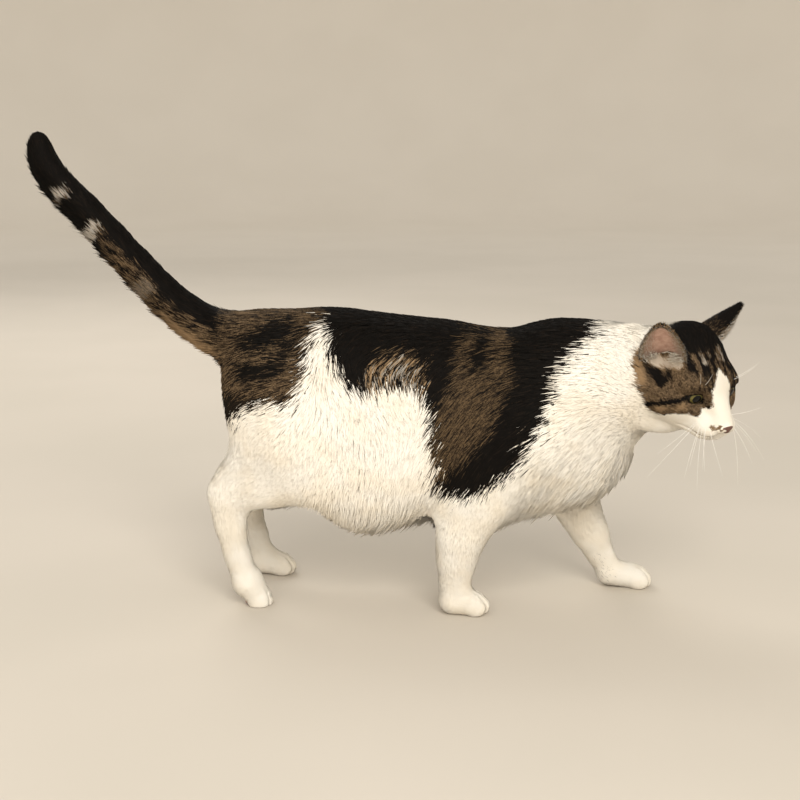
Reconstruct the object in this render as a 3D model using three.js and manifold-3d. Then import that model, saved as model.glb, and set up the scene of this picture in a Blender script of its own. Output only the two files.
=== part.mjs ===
// A life-size walking cat: a stout, plush-coated adult with its tail carried high behind it,
// its head lowered and turned to its own right, and its ears swivelled out to the sides.
// Millimetres, +X ahead of the cat, +Y to its left, +Z up. The floor is at z = 0.
//
// The body is first written as one smooth field (negative inside, positive outside): an oval
// trunk that follows stations along the spine, with limbs, neck, tail and skull as rounded
// forms melted into it. Each part of the body is that field meshed in its own box and parted
// from its neighbours by thin plane cuts, so the outline runs on from part to part.
import * as THREE from "three";
import { mergeVertices } from "three/addons/utils/BufferGeometryUtils.js";
import Module from "manifold-3d";

const wasm = await Module();
wasm.setup();

// ---- Driving sizes -------------------------------------------------------------------------

const GAP = 0.3; // clearance between neighbouring parts
const EAR_GAP = 0.9; // and round the foot of an ear, which is cupped
const WELD = 0.02; // corners closer than this are one corner
const FAR = 1200; // half size of a cutting block, larger than the cat
const BACK_HEIGHT = 262; // withers above the floor, coat included
const FORE_TRACK = { right: -47, left: 48 }; // sideways place of each forefoot
const HIND_TRACK = { right: -46, left: 45 }; // and of each hind foot
const SKULL = { at: [234, -46, 208], yaw: -52, pitch: 24, roll: 4 }; // midpoint of the eyes
const EYE = { radius: 9.6, apart: 17.2, back: 7.4, rise: 0.6 }; // eyeball in the skull's frame
const EAR = {
  length: 45,
  width: 42,
  cup: 12,
  thick: 1.8, // half the wall at the base
  root: 7, // depth of the foot inside the skull
  // In the skull's frame: the middle of the base, the way to the tip, the way it opens.
  right: { at: [-37, -31, 17], tip: [0.05, -0.4, 0.91], open: [0.55, -0.7, 0.3] },
  left: { at: [-49, 22, 30], tip: [0.03, 0.77, 0.64], open: [0.39, 0.66, -0.65] },
};
const NOSE = { at: [26, 0, -17], radii: [4.4, 7.4, 5.2] };

// Coat and skin colours, for the plain look of the solids.
const COLOURS = {
  white: 0xf3e9d8,
  tabby: 0x4a3b2e,
  black: 0x1d1916,
  ear: 0xb98f84,
  eye: 0x8f8a3c,
  nose: 0x8a5347,
};

// ---- Field forms ---------------------------------------------------------------------------

const { abs, cos, hypot, max, min, PI, sin, sqrt } = Math;
const lerp = (a, b, t) => a + (b - a) * t;
const clamp01 = (t) => min(1, max(0, t));

// Two forms melted together over a width k, like clay pressed into clay.
function melt(a, b, k) {
  const h = max(k - abs(a - b), 0) / k;
  return min(a, b) - (h * h * k) / 4;
}

// The first form with the second pressed into it as a soft hollow.
const hollow = (a, b, k) => -melt(-a, b, k);

// An ellipsoid, turned in the side view by a pitch in degrees (nose down is positive).
function egg([cx, cy, cz], [rx, ry, rz], pitch = 0) {
  const c = cos((pitch * PI) / 180),
    s = sin((pitch * PI) / 180);
  return (x, y, z) => {
    const dx = x - cx,
      dz = z - cz;
    const u = dx * c - dz * s,
      v = y - cy,
      w = dx * s + dz * c;
    const near = hypot(u / rx, v / ry, w / rz),
      steep = hypot(u / (rx * rx), v / (ry * ry), w / (rz * rz));
    return steep < 1e-9 ? -min(rx, ry, rz) : (near * (near - 1)) / steep;
  };
}

// A tapered limb between two joints; slim < 1 makes it narrower across the cat than fore and aft.
function limb(a, b, ra, rb, slim = 1) {
  const [ax, ay, az] = a;
  const d = [b[0] - ax, b[1] - ay, b[2] - az];
  const dd = d[0] * d[0] + (d[1] * d[1]) / (slim * slim) + d[2] * d[2];
  return (x, y, z) => {
    const px = x - ax,
      py = (y - ay) / slim,
      pz = z - az;
    const t = clamp01((px * d[0] + (py * d[1]) / slim + pz * d[2]) / dd);
    const off = hypot(px - t * d[0], py - (t * d[1]) / slim, pz - t * d[2]);
    return (off - lerp(ra, rb, t)) * (slim < 1 ? (1 + slim) / 2 : 1);
  };
}

// A chain of limbs through several joints, each [x, y, z, radius], melted over a width k.
function chain(joints, slim = 1, k = 6) {
  const links = joints
    .slice(1)
    .map((q, i) => limb(joints[i], q, joints[i][3], q[3], slim));
  return (x, y, z) => links.reduce((d, f) => melt(d, f(x, y, z), k), 1e3);
}

// Several forms melted together over a width k.
const meltAll = (forms, k) => (x, y, z) =>
  forms.reduce((d, f) => melt(d, f(x, y, z), k), 1e3);

// A smooth curve through the rows of a table, read at x in its first column.
function smoothRow(rows, x) {
  const n = rows.length;
  if (x <= rows[0][0]) return rows[0];
  if (x >= rows[n - 1][0]) return rows[n - 1];
  let i = 1;
  while (rows[i][0] < x) i++;
  const p = rows[max(i - 2, 0)],
    q = rows[i - 1],
    r = rows[i],
    s = rows[min(i + 1, n - 1)];
  const t = (x - q[0]) / (r[0] - q[0]),
    t2 = t * t,
    t3 = t2 * t;
  return q.map((_, c) => {
    const slopeQ = ((r[c] - p[c]) / (r[0] - p[0])) * (r[0] - q[0]),
      slopeR = ((s[c] - q[c]) / (s[0] - q[0])) * (r[0] - q[0]);
    return (
      (2 * t3 - 3 * t2 + 1) * q[c] +
      (t3 - 2 * t2 + t) * slopeQ +
      (3 * t2 - 2 * t3) * r[c] +
      (t3 - t2) * slopeR
    );
  });
}

// ---- Trunk ---------------------------------------------------------------------------------

// Stations along the spine: x, back, underline, half width, and how far the width sinks low.
const TRUNK = [
  [-206, 256, 200, 24, 0.0],
  [-190, 265, 158, 40, 0.05],
  [-162, 269, 126, 50, 0.1],
  [-132, 273, 99, 56, 0.14],
  [-108, 274, 78, 62, 0.18],
  [-82, 272, 68, 67, 0.2],
  [-56, 269, 71, 70, 0.2],
  [-28, 266, 81, 71, 0.18],
  [4, 263, 87, 69, 0.14],
  [34, 258, 89, 65, 0.12],
  [52, 256, 85, 62, 0.1],
  [78, 259, 88, 58, 0.08],
  [104, BACK_HEIGHT - 2, 98, 53, 0.06],
  [130, BACK_HEIGHT - 2, 116, 47, 0.0],
  [150, BACK_HEIGHT - 6, 140, 40, 0.0],
];
const TRUNK_ENDS = [-204, 148];
const TRUNK_POWER = 2.25; // 2 would be a plain ellipse, more is boxier

function trunk(x, y, z) {
  const [, top, under, half, sink] = smoothRow(TRUNK, x);
  const mid = (top + under) / 2,
    tall = (top - under) / 2,
    v = (z - mid) / tall;
  const wide = half * (1 - sink * max(-1.2, min(1.2, v)));
  const round =
    (abs(y / wide) ** TRUNK_POWER + abs(v) ** TRUNK_POWER) ** (1 / TRUNK_POWER);
  const shell = (round - 1) * min(wide, tall);
  return max(shell, TRUNK_ENDS[0] - x, x - TRUNK_ENDS[1]);
}

// The rump between the haunches, the breast that carries the ruff, and the neck.
const rump = egg([-172, 0, 212], [36, 42, 52]);
const breast = egg([116, 0, 158], [56, 43, 56], -22);
const withers = egg([104, 0, 214], [44, 36, 43]);
const neck = chain(
  [
    [112, 0, 203, 55],
    [152, -3, 210, 48],
    [190, -12, 218, 45],
  ],
  0.9,
  10,
);

// ---- Forelegs ------------------------------------------------------------------------------

// Joints of a foreleg from shoulder to wrist as [x, z, radius], and the foot that it stands on.
const FORELEG = {
  right: {
    joints: [
      [84, 172, 44],
      [34, 112, 31],
      [17, 78, 22.5],
      [12.5, 52, 18],
      [10.5, 30, 15],
    ],
    foot: { heel: [9, 12], toe: [27, 10] },
    inset: 12,
  },
  left: {
    joints: [
      [98, 172, 44],
      [108, 112, 29],
      [121, 78, 21],
      [134, 52, 17],
      [144, 32, 14],
    ],
    foot: { heel: [153, 14], toe: [178, 9.8] },
    inset: 12,
  },
};
const FORE_SLIM = 0.8;

// A foot: a pad-shaped body from heel to toes, with four rounded toes across its front.
function foot(track, { heel, toe }, width, k = 3.2) {
  const length = hypot(toe[0] - heel[0], toe[1] - heel[1]);
  const ahead = [(toe[0] - heel[0]) / length, (toe[1] - heel[1]) / length];
  const toes = [-1.5, -0.5, 0.5, 1.5].map((n) => {
    const inner = 1 - abs(n) / 2; // the middle two toes reach further forward
    const reach = 1.5 + 6 * inner;
    return egg(
      [toe[0] + ahead[0] * reach, track + n * width * 0.42, toe[1] + ahead[1] * reach - 2],
      [9.5, 5.6, 8.4],
    );
  });
  const body = limb(
    [heel[0], track, heel[1]],
    [toe[0], track, toe[1]],
    13.2,
    11.8,
    1.08,
  );
  const paw = meltAll(toes, k);
  return (x, y, z) => melt(body(x, y, z), paw(x, y, z), 4.5);
}

function foreleg(side) {
  const { joints, foot: stand, inset } = FORELEG[side];
  const track = FORE_TRACK[side],
    inward = -Math.sign(track);
  const path = joints.map(([x, z, r], i) => [
    x,
    track + inward * inset * max(0, 1 - i / 2),
    z,
    r,
  ]);
  const bone = chain(path, FORE_SLIM, 9),
    paw = foot(track, stand, 14);
  return (x, y, z) => melt(bone(x, y, z), paw(x, y, z), 9);
}

// ---- Hind legs -----------------------------------------------------------------------------

// Joints from hip to hock to toes. The right foot pushes off from its toes, the left is flat.
const HINDLEG = {
  right: {
    thigh: [
      [-152, 205, 48],
      [-132, 158, 42],
      [-118, 132, 31],
    ],
    ham: [
      [-172, 196, 31],
      [-172, 152, 25],
    ],
    shank: [
      [-120, 132, 30],
      [-160, 118, 24],
      [-200, 106, 16],
    ],
    cannon: [
      [-202, 104, 16],
      [-198, 76, 14],
      [-192, 46, 12.4],
      [-184, 24, 12.4],
    ],
    foot: { heel: [-182, 20], toe: [-173, 8.6] },
    hock: [-207, 110],
  },
  left: {
    thigh: [
      [-152, 205, 48],
      [-136, 158, 42],
      [-124, 130, 30],
    ],
    ham: [
      [-172, 196, 31],
      [-172, 150, 25],
    ],
    shank: [
      [-126, 130, 29],
      [-164, 112, 23],
      [-204, 92, 15],
    ],
    cannon: [
      [-206, 90, 15],
      [-202, 66, 13.4],
      [-196, 38, 12.4],
      [-190, 20, 12],
    ],
    foot: { heel: [-189, 13], toe: [-171, 10] },
    hock: [-211, 96],
  },
};
const HIP_INSET = 17; // the hip joint lies this far inside the line of the foot
const HIND_SLIM = 0.74;

function hindleg(side) {
  const leg = HINDLEG[side],
    track = HIND_TRACK[side],
    inward = -Math.sign(track);
  const place = (rows, insets) =>
    rows.map(([x, z, r], i) => [x, track + inward * insets[i], z, r]);
  const thigh = chain(place(leg.thigh, [HIP_INSET, 5, 0]), 0.78, 14);
  const shank = chain(place(leg.shank, [0, 2, 0]), HIND_SLIM, 10);
  const cannon = chain(place(leg.cannon, [0, 0, 0, 0]), 0.9, 8);
  const hock = egg([leg.hock[0], track, leg.hock[1]], [12.5, 10, 13], 20);
  const ham = chain(place(leg.ham, [12, 4]), 0.8, 10);
  const paw = foot(track, leg.foot, 13);
  return (x, y, z) => {
    const back = melt(thigh(x, y, z), ham(x, y, z), 14);
    const upper = melt(back, shank(x, y, z), 12);
    const lower = melt(melt(cannon(x, y, z), hock(x, y, z), 8), paw(x, y, z), 7);
    return melt(upper, lower, 9);
  };
}

// ---- Tail ----------------------------------------------------------------------------------

// Points down the middle of the tail, each x, y, z and the radius of its coat.
const TAIL = [
  [-178, 0, 238, 27],
  [-203, 0, 244, 22],
  [-222, 0, 251, 19.5],
  [-246, 0, 265, 17.8],
  [-268, 0, 284, 16.6],
  [-292, 0, 309, 16],
  [-316, 0, 335, 15.6],
  [-339, 0, 360, 15],
  [-357, 0, 377, 14.6],
  [-371, 0, 392, 14],
  [-379, 0, 408, 12.8],
  [-382, 0, 424, 10.6],
];
const tail = chain(TAIL, 1, 5);

// ---- Head ----------------------------------------------------------------------------------

// The skull's own frame has its origin midway between the eyes, +X out of the face.
const skullFrame = new THREE.Matrix4()
  .makeRotationFromEuler(
    new THREE.Euler(
      (SKULL.roll * PI) / 180,
      (SKULL.pitch * PI) / 180,
      (SKULL.yaw * PI) / 180,
      "ZYX",
    ),
  )
  .setPosition(...SKULL.at);
const intoSkull = skullFrame.clone().invert();

// A point carried by a frame.
function carry({ elements: m }, x, y, z) {
  return [0, 1, 2].map((c) => m[c] * x + m[c + 4] * y + m[c + 8] * z + m[c + 12]);
}

const both = (form) => [1, -1].map(form);
const skullForms = [
  egg([-44, 0, 9], [38, 35, 34], -8), // braincase
  egg([-15, 0, 10], [21, 26, 19]), // forehead
  ...both((s) => egg([-30, s * 25, -14], [27, 21, 23])), // cheeks
  egg([-52, 0, -17], [32, 41, 34]), // ruff behind the jaw
  ...both((s) => egg([-8, s * 16.5, 8], [12, 12, 8])), // brows
  ...both((s) => egg([-6, s * 17, -12], [13, 12, 11])), // cheekbones, below the eyes
];
const muzzleForms = [
  limb([-4, 0, 3], [17, 0, -11.5], 13.5, 9), // bridge of the nose
  ...both((s) => egg([12, s * 8.2, -21.5], [13, 10.6, 9.6], 12)), // whisker pads
  egg([24, 0, -16.5], [6, 7.4, 5.2]), // tip of the nose
  egg([7, 0, -30.5], [14.5, 12, 8]), // chin
  ...both((s) => limb([6, s * 8, -27], [-26, s * 18, -23], 10.5, 16)), // jaw
];
const orbits = both((s) =>
  egg([4, s * (EYE.apart + 1.5), EYE.rise], [5.4, 10, 7.6]),
);

function skull(x, y, z) {
  const vault = skullForms.reduce((d, f) => melt(d, f(x, y, z), 11), 1e3);
  const muzzle = muzzleForms.reduce((d, f) => melt(d, f(x, y, z), 6), 1e3);
  let face = melt(vault, muzzle, 9);
  for (const orbit of orbits) face = hollow(face, orbit(x, y, z), 6);
  return face;
}

const head = (x, y, z) => skull(...carry(intoSkull, x, y, z));

// ---- The whole cat as one field ------------------------------------------------------------

const legs = [foreleg("right"), foreleg("left"), hindleg("right"), hindleg("left")];

// How wide each form melts into the body.
const MELT = { rump: 16, shoulders: 20, breast: 22, neck: 20, leg: 13, tail: 14, head: 9 };

function cat(x, y, z) {
  let d = melt(trunk(x, y, z), rump(x, y, z), MELT.rump);
  const chest = melt(breast(x, y, z), withers(x, y, z), MELT.shoulders);
  d = melt(d, chest, MELT.breast);
  d = melt(d, neck(x, y, z), MELT.neck);
  for (const leg of legs) d = melt(d, leg(x, y, z), MELT.leg);
  d = melt(d, tail(x, y, z), MELT.tail);
  return melt(d, head(x, y, z), MELT.head);
}

// ---- Meshing -------------------------------------------------------------------------------

const SETTLE_ROUNDS = 3; // times that a vertex is drawn towards the surface
const SETTLE_STEP = 0.3; // and the most it moves each time, in cells
const FLAT_SLOPE = 0.2; // a field's squared slope is never taken for less

// Faces the zero level of a field inside a box: one vertex in each cell that the surface
// crosses, drawn onto the surface itself, and one square across each crossed grid edge.
// The box and its steps may lie in a frame of their own, which carries the result home.
function faceField(source, [low, high], step, frame = new THREE.Matrix4()) {
  const field = (x, y, z) => source(...carry(frame, x, y, z));
  const count = low.map((v, c) => Math.ceil((high[c] - v) / step[c]) + 1);
  const fine = min(...step);
  const [nx, ny, nz] = count;
  const at = (i, j, k) => i + nx * (j + ny * k);
  const value = new Float32Array(nx * ny * nz);
  for (let k = 0; k < nz; k++)
    for (let j = 0; j < ny; j++)
      for (let i = 0; i < nx; i++) {
        const edge =
          i === 0 || j === 0 || k === 0 || i === nx - 1 || j === ny - 1 || k === nz - 1;
        const d = field(...[i, j, k].map((n, c) => low[c] + n * step[c]));
        value[at(i, j, k)] = edge ? max(d, fine * 0.5) : d;
      }
  const vertexOf = new Map(),
    points = [],
    faces = [];
  const corner = [0, 1, 2, 3, 4, 5, 6, 7].map((c) => [c & 1, (c >> 1) & 1, c >> 2]);
  const edges = [];
  corner.forEach((a, p) =>
    corner.forEach((b, q) => {
      if (q > p && abs(a[0] - b[0]) + abs(a[1] - b[1]) + abs(a[2] - b[2]) === 1)
        edges.push([p, q]);
    }),
  );
  const settle = (p) => {
    const e = fine * 0.15;
    for (let round = 0; round < SETTLE_ROUNDS; round++) {
      const d = field(...p);
      const g = [
        field(p[0] + e, p[1], p[2]) - d,
        field(p[0], p[1] + e, p[2]) - d,
        field(p[0], p[1], p[2] + e) - d,
      ].map((v) => v / e);
      const gg = max(g[0] * g[0] + g[1] * g[1] + g[2] * g[2], FLAT_SLOPE);
      for (let c = 0; c < 3; c++) {
        const most = SETTLE_STEP * fine,
          move = max(-most, min(most, (d * g[c]) / gg));
        p[c] = max(low[c], min(high[c], p[c] - move));
      }
    }
    return p;
  };
  for (let k = 0; k < nz - 1; k++)
    for (let j = 0; j < ny - 1; j++)
      for (let i = 0; i < nx - 1; i++) {
        const d = corner.map(([a, b, c]) => value[at(i + a, j + b, k + c)]);
        const inside = d.filter((v) => v < 0).length;
        if (inside === 0 || inside === 8) continue;
        const sum = [0, 0, 0];
        let crossings = 0;
        for (const [p, q] of edges) {
          if (d[p] < 0 === d[q] < 0) continue;
          const t = d[p] / (d[p] - d[q]);
          for (let c = 0; c < 3; c++) sum[c] += lerp(corner[p][c], corner[q][c], t);
          crossings++;
        }
        const p = [i, j, k].map((v, c) => low[c] + (v + sum[c] / crossings) * step[c]);
        const onEdge =
          i === 0 || j === 0 || k === 0 || i === nx - 2 || j === ny - 2 || k === nz - 2;
        vertexOf.set(at(i, j, k), points.length);
        points.push(onEdge ? p : settle(p));
      }
  const square = (a, b, c, d, flip) => {
    const q = [a, b, c, d].map((v) => vertexOf.get(v));
    if (flip) q.reverse();
    const far = (m, n) => hypot(...points[m].map((v, i) => v - points[n][i]));
    if (far(q[0], q[2]) < far(q[1], q[3]))
      faces.push(q[0], q[1], q[2], q[0], q[2], q[3]);
    else faces.push(q[1], q[2], q[3], q[1], q[3], q[0]);
  };
  const [dx, dy, dz] = [1, nx, nx * ny];
  for (let k = 0; k < nz - 1; k++)
    for (let j = 0; j < ny - 1; j++)
      for (let i = 0; i < nx - 1; i++) {
        const me = at(i, j, k),
          here = value[me] < 0;
        if (j > 0 && k > 0 && value[me + dx] < 0 !== here)
          square(me - dy - dz, me - dz, me, me - dy, !here);
        if (i > 0 && k > 0 && value[me + dy] < 0 !== here)
          square(me - dx - dz, me - dx, me, me - dz, !here);
        if (i > 0 && j > 0 && value[me + dz] < 0 !== here)
          square(me - dx - dy, me - dy, me, me - dx, !here);
      }
  return solidOf(points.flatMap((p) => carry(frame, ...p)), faces);
}

const solidOf = (points, faces) =>
  new wasm.Manifold(
    new wasm.Mesh({
      numProp: 3,
      vertProperties: new Float32Array(points),
      triVerts: new Uint32Array(faces),
    }),
  );

// A closed three.js geometry as a solid, its doubled vertices merged first.
function solidOfGeometry(geometry) {
  const g = geometry.index ? geometry.toNonIndexed() : geometry.clone();
  for (const name of Object.keys(g.attributes))
    if (name !== "position") g.deleteAttribute(name);
  const merged = mergeVertices(g, 1e-3);
  return solidOf(merged.attributes.position.array, merged.index.array);
}

function geometryOfSolid(solid) {
  const { numProp, numVert, vertProperties, triVerts } = solid.getMesh();
  const place = new Float32Array(numVert * 3);
  for (let i = 0; i < numVert; i++)
    place.set(vertProperties.subarray(i * numProp, i * numProp + 3), i * 3);
  const g = new THREE.BufferGeometry();
  g.setAttribute("position", new THREE.BufferAttribute(place, 3));
  g.setIndex(new THREE.BufferAttribute(new Uint32Array(triVerts), 1));
  return weld(g);
}

// Corners that a cut left almost on top of each other become one, and the slivers between
// them go: those with a corner twice, and those that lie back to back.
function weld(geometry) {
  const g = mergeVertices(geometry, WELD);
  const faces = new Map();
  for (let i = 0; i < g.index.count; i += 3) {
    const face = Array.from(g.index.array.subarray(i, i + 3));
    if (new Set(face).size < 3) continue;
    const corners = [...face].sort((a, b) => a - b).join();
    if (!faces.delete(corners)) faces.set(corners, face);
  }
  g.setIndex([...faces.values()].flat());
  g.computeVertexNormals();
  return g;
}

// ---- Cutting -------------------------------------------------------------------------------

// All that lies on the near side of a plane: a block whose face is on the plane at a point,
// with the plane's normal pointing out of it. Grow moves that face outwards.
function behind([point, normal], grow = 0) {
  const out = new THREE.Vector3(...normal).normalize();
  const block = new THREE.BoxGeometry(2 * FAR, 2 * FAR, 2 * FAR);
  block.translate(0, 0, -FAR + grow);
  block.applyQuaternion(
    new THREE.Quaternion().setFromUnitVectors(new THREE.Vector3(0, 0, 1), out),
  );
  block.translate(...point);
  return solidOfGeometry(block);
}

// The space behind several planes at once.
const regionOf = (planes, grow = 0) =>
  planes.map((p) => behind(p, grow)).reduce((a, b) => a.intersect(b));

// Each part keeps what is behind all of its planes. A plane is [point on it, outward normal].
const WRIST_LEAN = 0.35; // radians by which the near wrist's cut leans towards the toes
const toeward = [sin(WRIST_LEAN), 0, cos(WRIST_LEAN)];
const REGIONS = {
  head: [[[197, -10, 225], [-0.86, 0.48, 0.1]]],
  neck: [[[150, 0, 214], [-0.92, 0, -0.39]]],
  tailBase: [[[-206, 0, 244], [0.95, 0, -0.32]]],
  tailMiddle: [[[-280, 0, 297], [0.68, 0, -0.73]]],
  tailTip: [[[-340, 0, 361], [0.66, 0, -0.75]]],
  forelegRight: [
    [[40, -22, 130], [0, 0.98, 0.2]],
    [[60, -45, 176], [-0.1, 0, 1]],
    [[88, -40, 150], [0.93, 0, -0.36]],
    [[10, -40, 130], [-0.9, 0, 0.43]],
  ],
  forelegLeft: [
    [[110, 22, 130], [0, -0.98, 0.2]],
    [[110, 45, 164], [0, 0, 1]],
    [[72, 40, 120], [-0.97, 0, -0.24]],
  ],
  hindlegRight: [
    [[-150, -14, 130], [0, 0.98, 0.2]],
    [[-150, -50, 222], [0.15, 0, 1]],
    [[-104, -50, 130], [0.95, 0, 0.3]],
  ],
  hindlegLeft: [
    [[-150, 14, 130], [0, -0.98, 0.2]],
    [[-150, 50, 222], [0.15, 0, 1]],
    [[-108, 50, 130], [0.95, 0, 0.3]],
  ],
  forepawRight: [[[12, -45, 27], toeward]],
  forepawLeft: [[[146, 48, 29], [-0.8, 0, 0.6]]],
  hindpawRight: [[[-186, -46, 28], [-0.4, 0, 0.9]]],
  hindpawLeft: [[[-192, 45, 24], [-0.4, 0, 0.9]]],
};
const floorCut = regionOf([[[0, 0, 0], [0, 0, 1]]]); // all that lies below the floor

// ---- Ears, eyes and nose -------------------------------------------------------------------

// An ear is a sphere drawn out into a pointed, cupped leaf. Its frame has the tip along +Z,
// the opening towards +X and the base at the origin.
function earGeometry(grow) {
  const { length, width, cup, thick } = EAR;
  const ball = new THREE.SphereGeometry(1, 14, 9);
  ball.rotateX(PI / 2); // poles at the base and the tip
  const p = ball.attributes.position;
  for (let i = 0; i < p.count; i++) {
    const [u, v, w] = [p.getX(i), p.getY(i), p.getZ(i)];
    const rise = (w + 1) / 2; // 0 at the base, 1 at the tip
    const span = (width / 2) * sqrt(max(0, 1 - rise ** 1.7)) * (0.82 + 0.5 * rise * (1 - rise));
    const ring = max(hypot(u, v), 1e-6);
    const side = v / ring,
      front = u / ring;
    const shut = sqrt(max(0, 1 - w * w)) > 1e-3 ? 1 : 0; // the poles stay single points
    const across = side * (span + grow) * shut;
    const bend = min(abs(across) / max(span, 1), 1.2); // 1 at the rim
    const curl = cup * (1 - rise * 0.75) * (bend * bend - 0.62);
    const wall = thick * (1 - rise / 2) + 2 * grow;
    p.setXYZ(i, curl + front * wall * shut, across, lerp(-EAR.root - grow, length + grow, rise));
  }
  return ball;
}

function earSolid(side, grow = 0) {
  const { at, tip, open } = EAR[side];
  const up = new THREE.Vector3(...tip).normalize();
  const out = new THREE.Vector3(...open).projectOnPlane(up).normalize();
  const place = new THREE.Matrix4()
    .makeBasis(out, up.clone().cross(out), up)
    .setPosition(...at);
  return solidOfGeometry(
    earGeometry(grow).applyMatrix4(place).applyMatrix4(skullFrame),
  );
}

function eyeSolid(side, grow = 0) {
  const s = side === "left" ? 1 : -1;
  const ball = new THREE.SphereGeometry(EYE.radius + grow, 14, 8);
  ball.translate(-EYE.back, s * EYE.apart, EYE.rise);
  return solidOfGeometry(ball.applyMatrix4(skullFrame));
}

function noseSolid(grow = 0) {
  const bulb = new THREE.SphereGeometry(1, 12, 8);
  bulb.scale(...NOSE.radii.map((r) => r + grow));
  bulb.translate(...NOSE.at);
  return solidOfGeometry(bulb.applyMatrix4(skullFrame));
}

// ---- Parts ---------------------------------------------------------------------------------

const SIDES = ["right", "left"];
const capital = (side) => side[0].toUpperCase() + side.slice(1);
const inside = (name, grow = 0) => regionOf(REGIONS[name], grow);

// Boxes that hold each stretch of the body, with the mesh step that suits its detail.
const whole = {
  trunk: faceField(cat, [[-232, -100, 40], [176, 100, 300]], [20, 14, 14.6]),
  neck: faceField(cat, [[104, -76, 48], [236, 76, 300]], [14, 12.8, 13]),
  head: faceField(cat, [[-96, -70, -86], [44, 70, 66]], [6.4, 6.6, 6.4], skullFrame),
  tail: faceField(cat, [[-412, -44, 196], [-172, 44, 456]], [12.4, 8.8, 12.4]),
  right: faceField(cat, [[-248, -112, -12], [128, 8, 264]], [12.4, 9.8, 13.6]),
  left: faceField(cat, [[-248, -8, -12], [216, 112, 264]], [12.4, 9.8, 13.6]),
};
const pawBox = ([x0, x1], track) => [
  [x0, track - 30, -7],
  [x1, track + 30, 50],
];
const PAW_STEP = [7.2, 6, 7.2];
const paws = {
  forepawRight: faceField(cat, pawBox([-18, 58], FORE_TRACK.right), PAW_STEP),
  forepawLeft: faceField(cat, pawBox([122, 212], FORE_TRACK.left), PAW_STEP),
  hindpawRight: faceField(cat, pawBox([-216, -142], HIND_TRACK.right), PAW_STEP),
  hindpawLeft: faceField(cat, pawBox([-222, -138], HIND_TRACK.left), PAW_STEP),
};

const solids = {};

const withoutEars = (solid) =>
  SIDES.reduce((s, side) => s.subtract(earSolid(side, EAR_GAP)), solid);

solids.head = SIDES.reduce(
  (h, side) => h.subtract(eyeSolid(side, GAP)),
  withoutEars(whole.head.intersect(inside("head"))).subtract(noseSolid(GAP)),
);
solids.nose = noseSolid();
for (const side of SIDES) {
  solids["ear_" + side] = earSolid(side);
  solids["eye_" + side] = eyeSolid(side);
}

solids.neck = withoutEars(
  whole.neck.intersect(inside("neck")).subtract(inside("head", GAP)),
);

solids.tail_base = whole.tail
  .intersect(inside("tailBase"))
  .subtract(inside("tailMiddle", GAP));
solids.tail_middle = whole.tail
  .intersect(inside("tailMiddle"))
  .subtract(inside("tailTip", GAP));
solids.tail_tip = whole.tail.intersect(inside("tailTip"));

for (const side of SIDES)
  for (const end of ["fore", "hind"]) {
    const legName = end + "leg" + capital(side),
      pawName = end + "paw" + capital(side);
    solids[end + "leg_" + side] = whole[side]
      .intersect(inside(legName))
      .subtract(inside(pawName, GAP))
      .subtract(inside("neck", GAP));
    solids[end + "paw_" + side] = paws[pawName]
      .intersect(inside(pawName))
      .subtract(floorCut);
  }

solids.trunk = ["neck", "tailBase", "forelegRight", "forelegLeft", "hindlegRight", "hindlegLeft"]
  .map((name) => inside(name, GAP))
  .reduce((t, cut) => t.subtract(cut), whole.trunk);

const PAINT = {
  head: "tabby",
  nose: "nose",
  trunk: "tabby",
  tail_base: "tabby",
  tail_middle: "tabby",
  tail_tip: "black",
};
const paintOf = (name) =>
  name.startsWith("ear") ? "ear" : name.startsWith("eye") ? "eye" : (PAINT[name] ?? "white");

const part = new THREE.Group();
for (const [name, solid] of Object.entries(solids)) {
  const glossy = name.startsWith("eye");
  const material = new THREE.MeshStandardMaterial({
    color: COLOURS[paintOf(name)],
    roughness: glossy ? 0.1 : 0.85,
    metalness: 0,
  });
  const mesh = new THREE.Mesh(geometryOfSolid(solid), material);
  mesh.name = name;
  part.add(mesh);
}

// The origin is on the floor, under the middle of the box that holds the cat.
const box = new THREE.Box3().setFromObject(part);
part.position.set(-(box.min.x + box.max.x) / 2, -(box.min.y + box.max.y) / 2, 0);

export default part;
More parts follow.
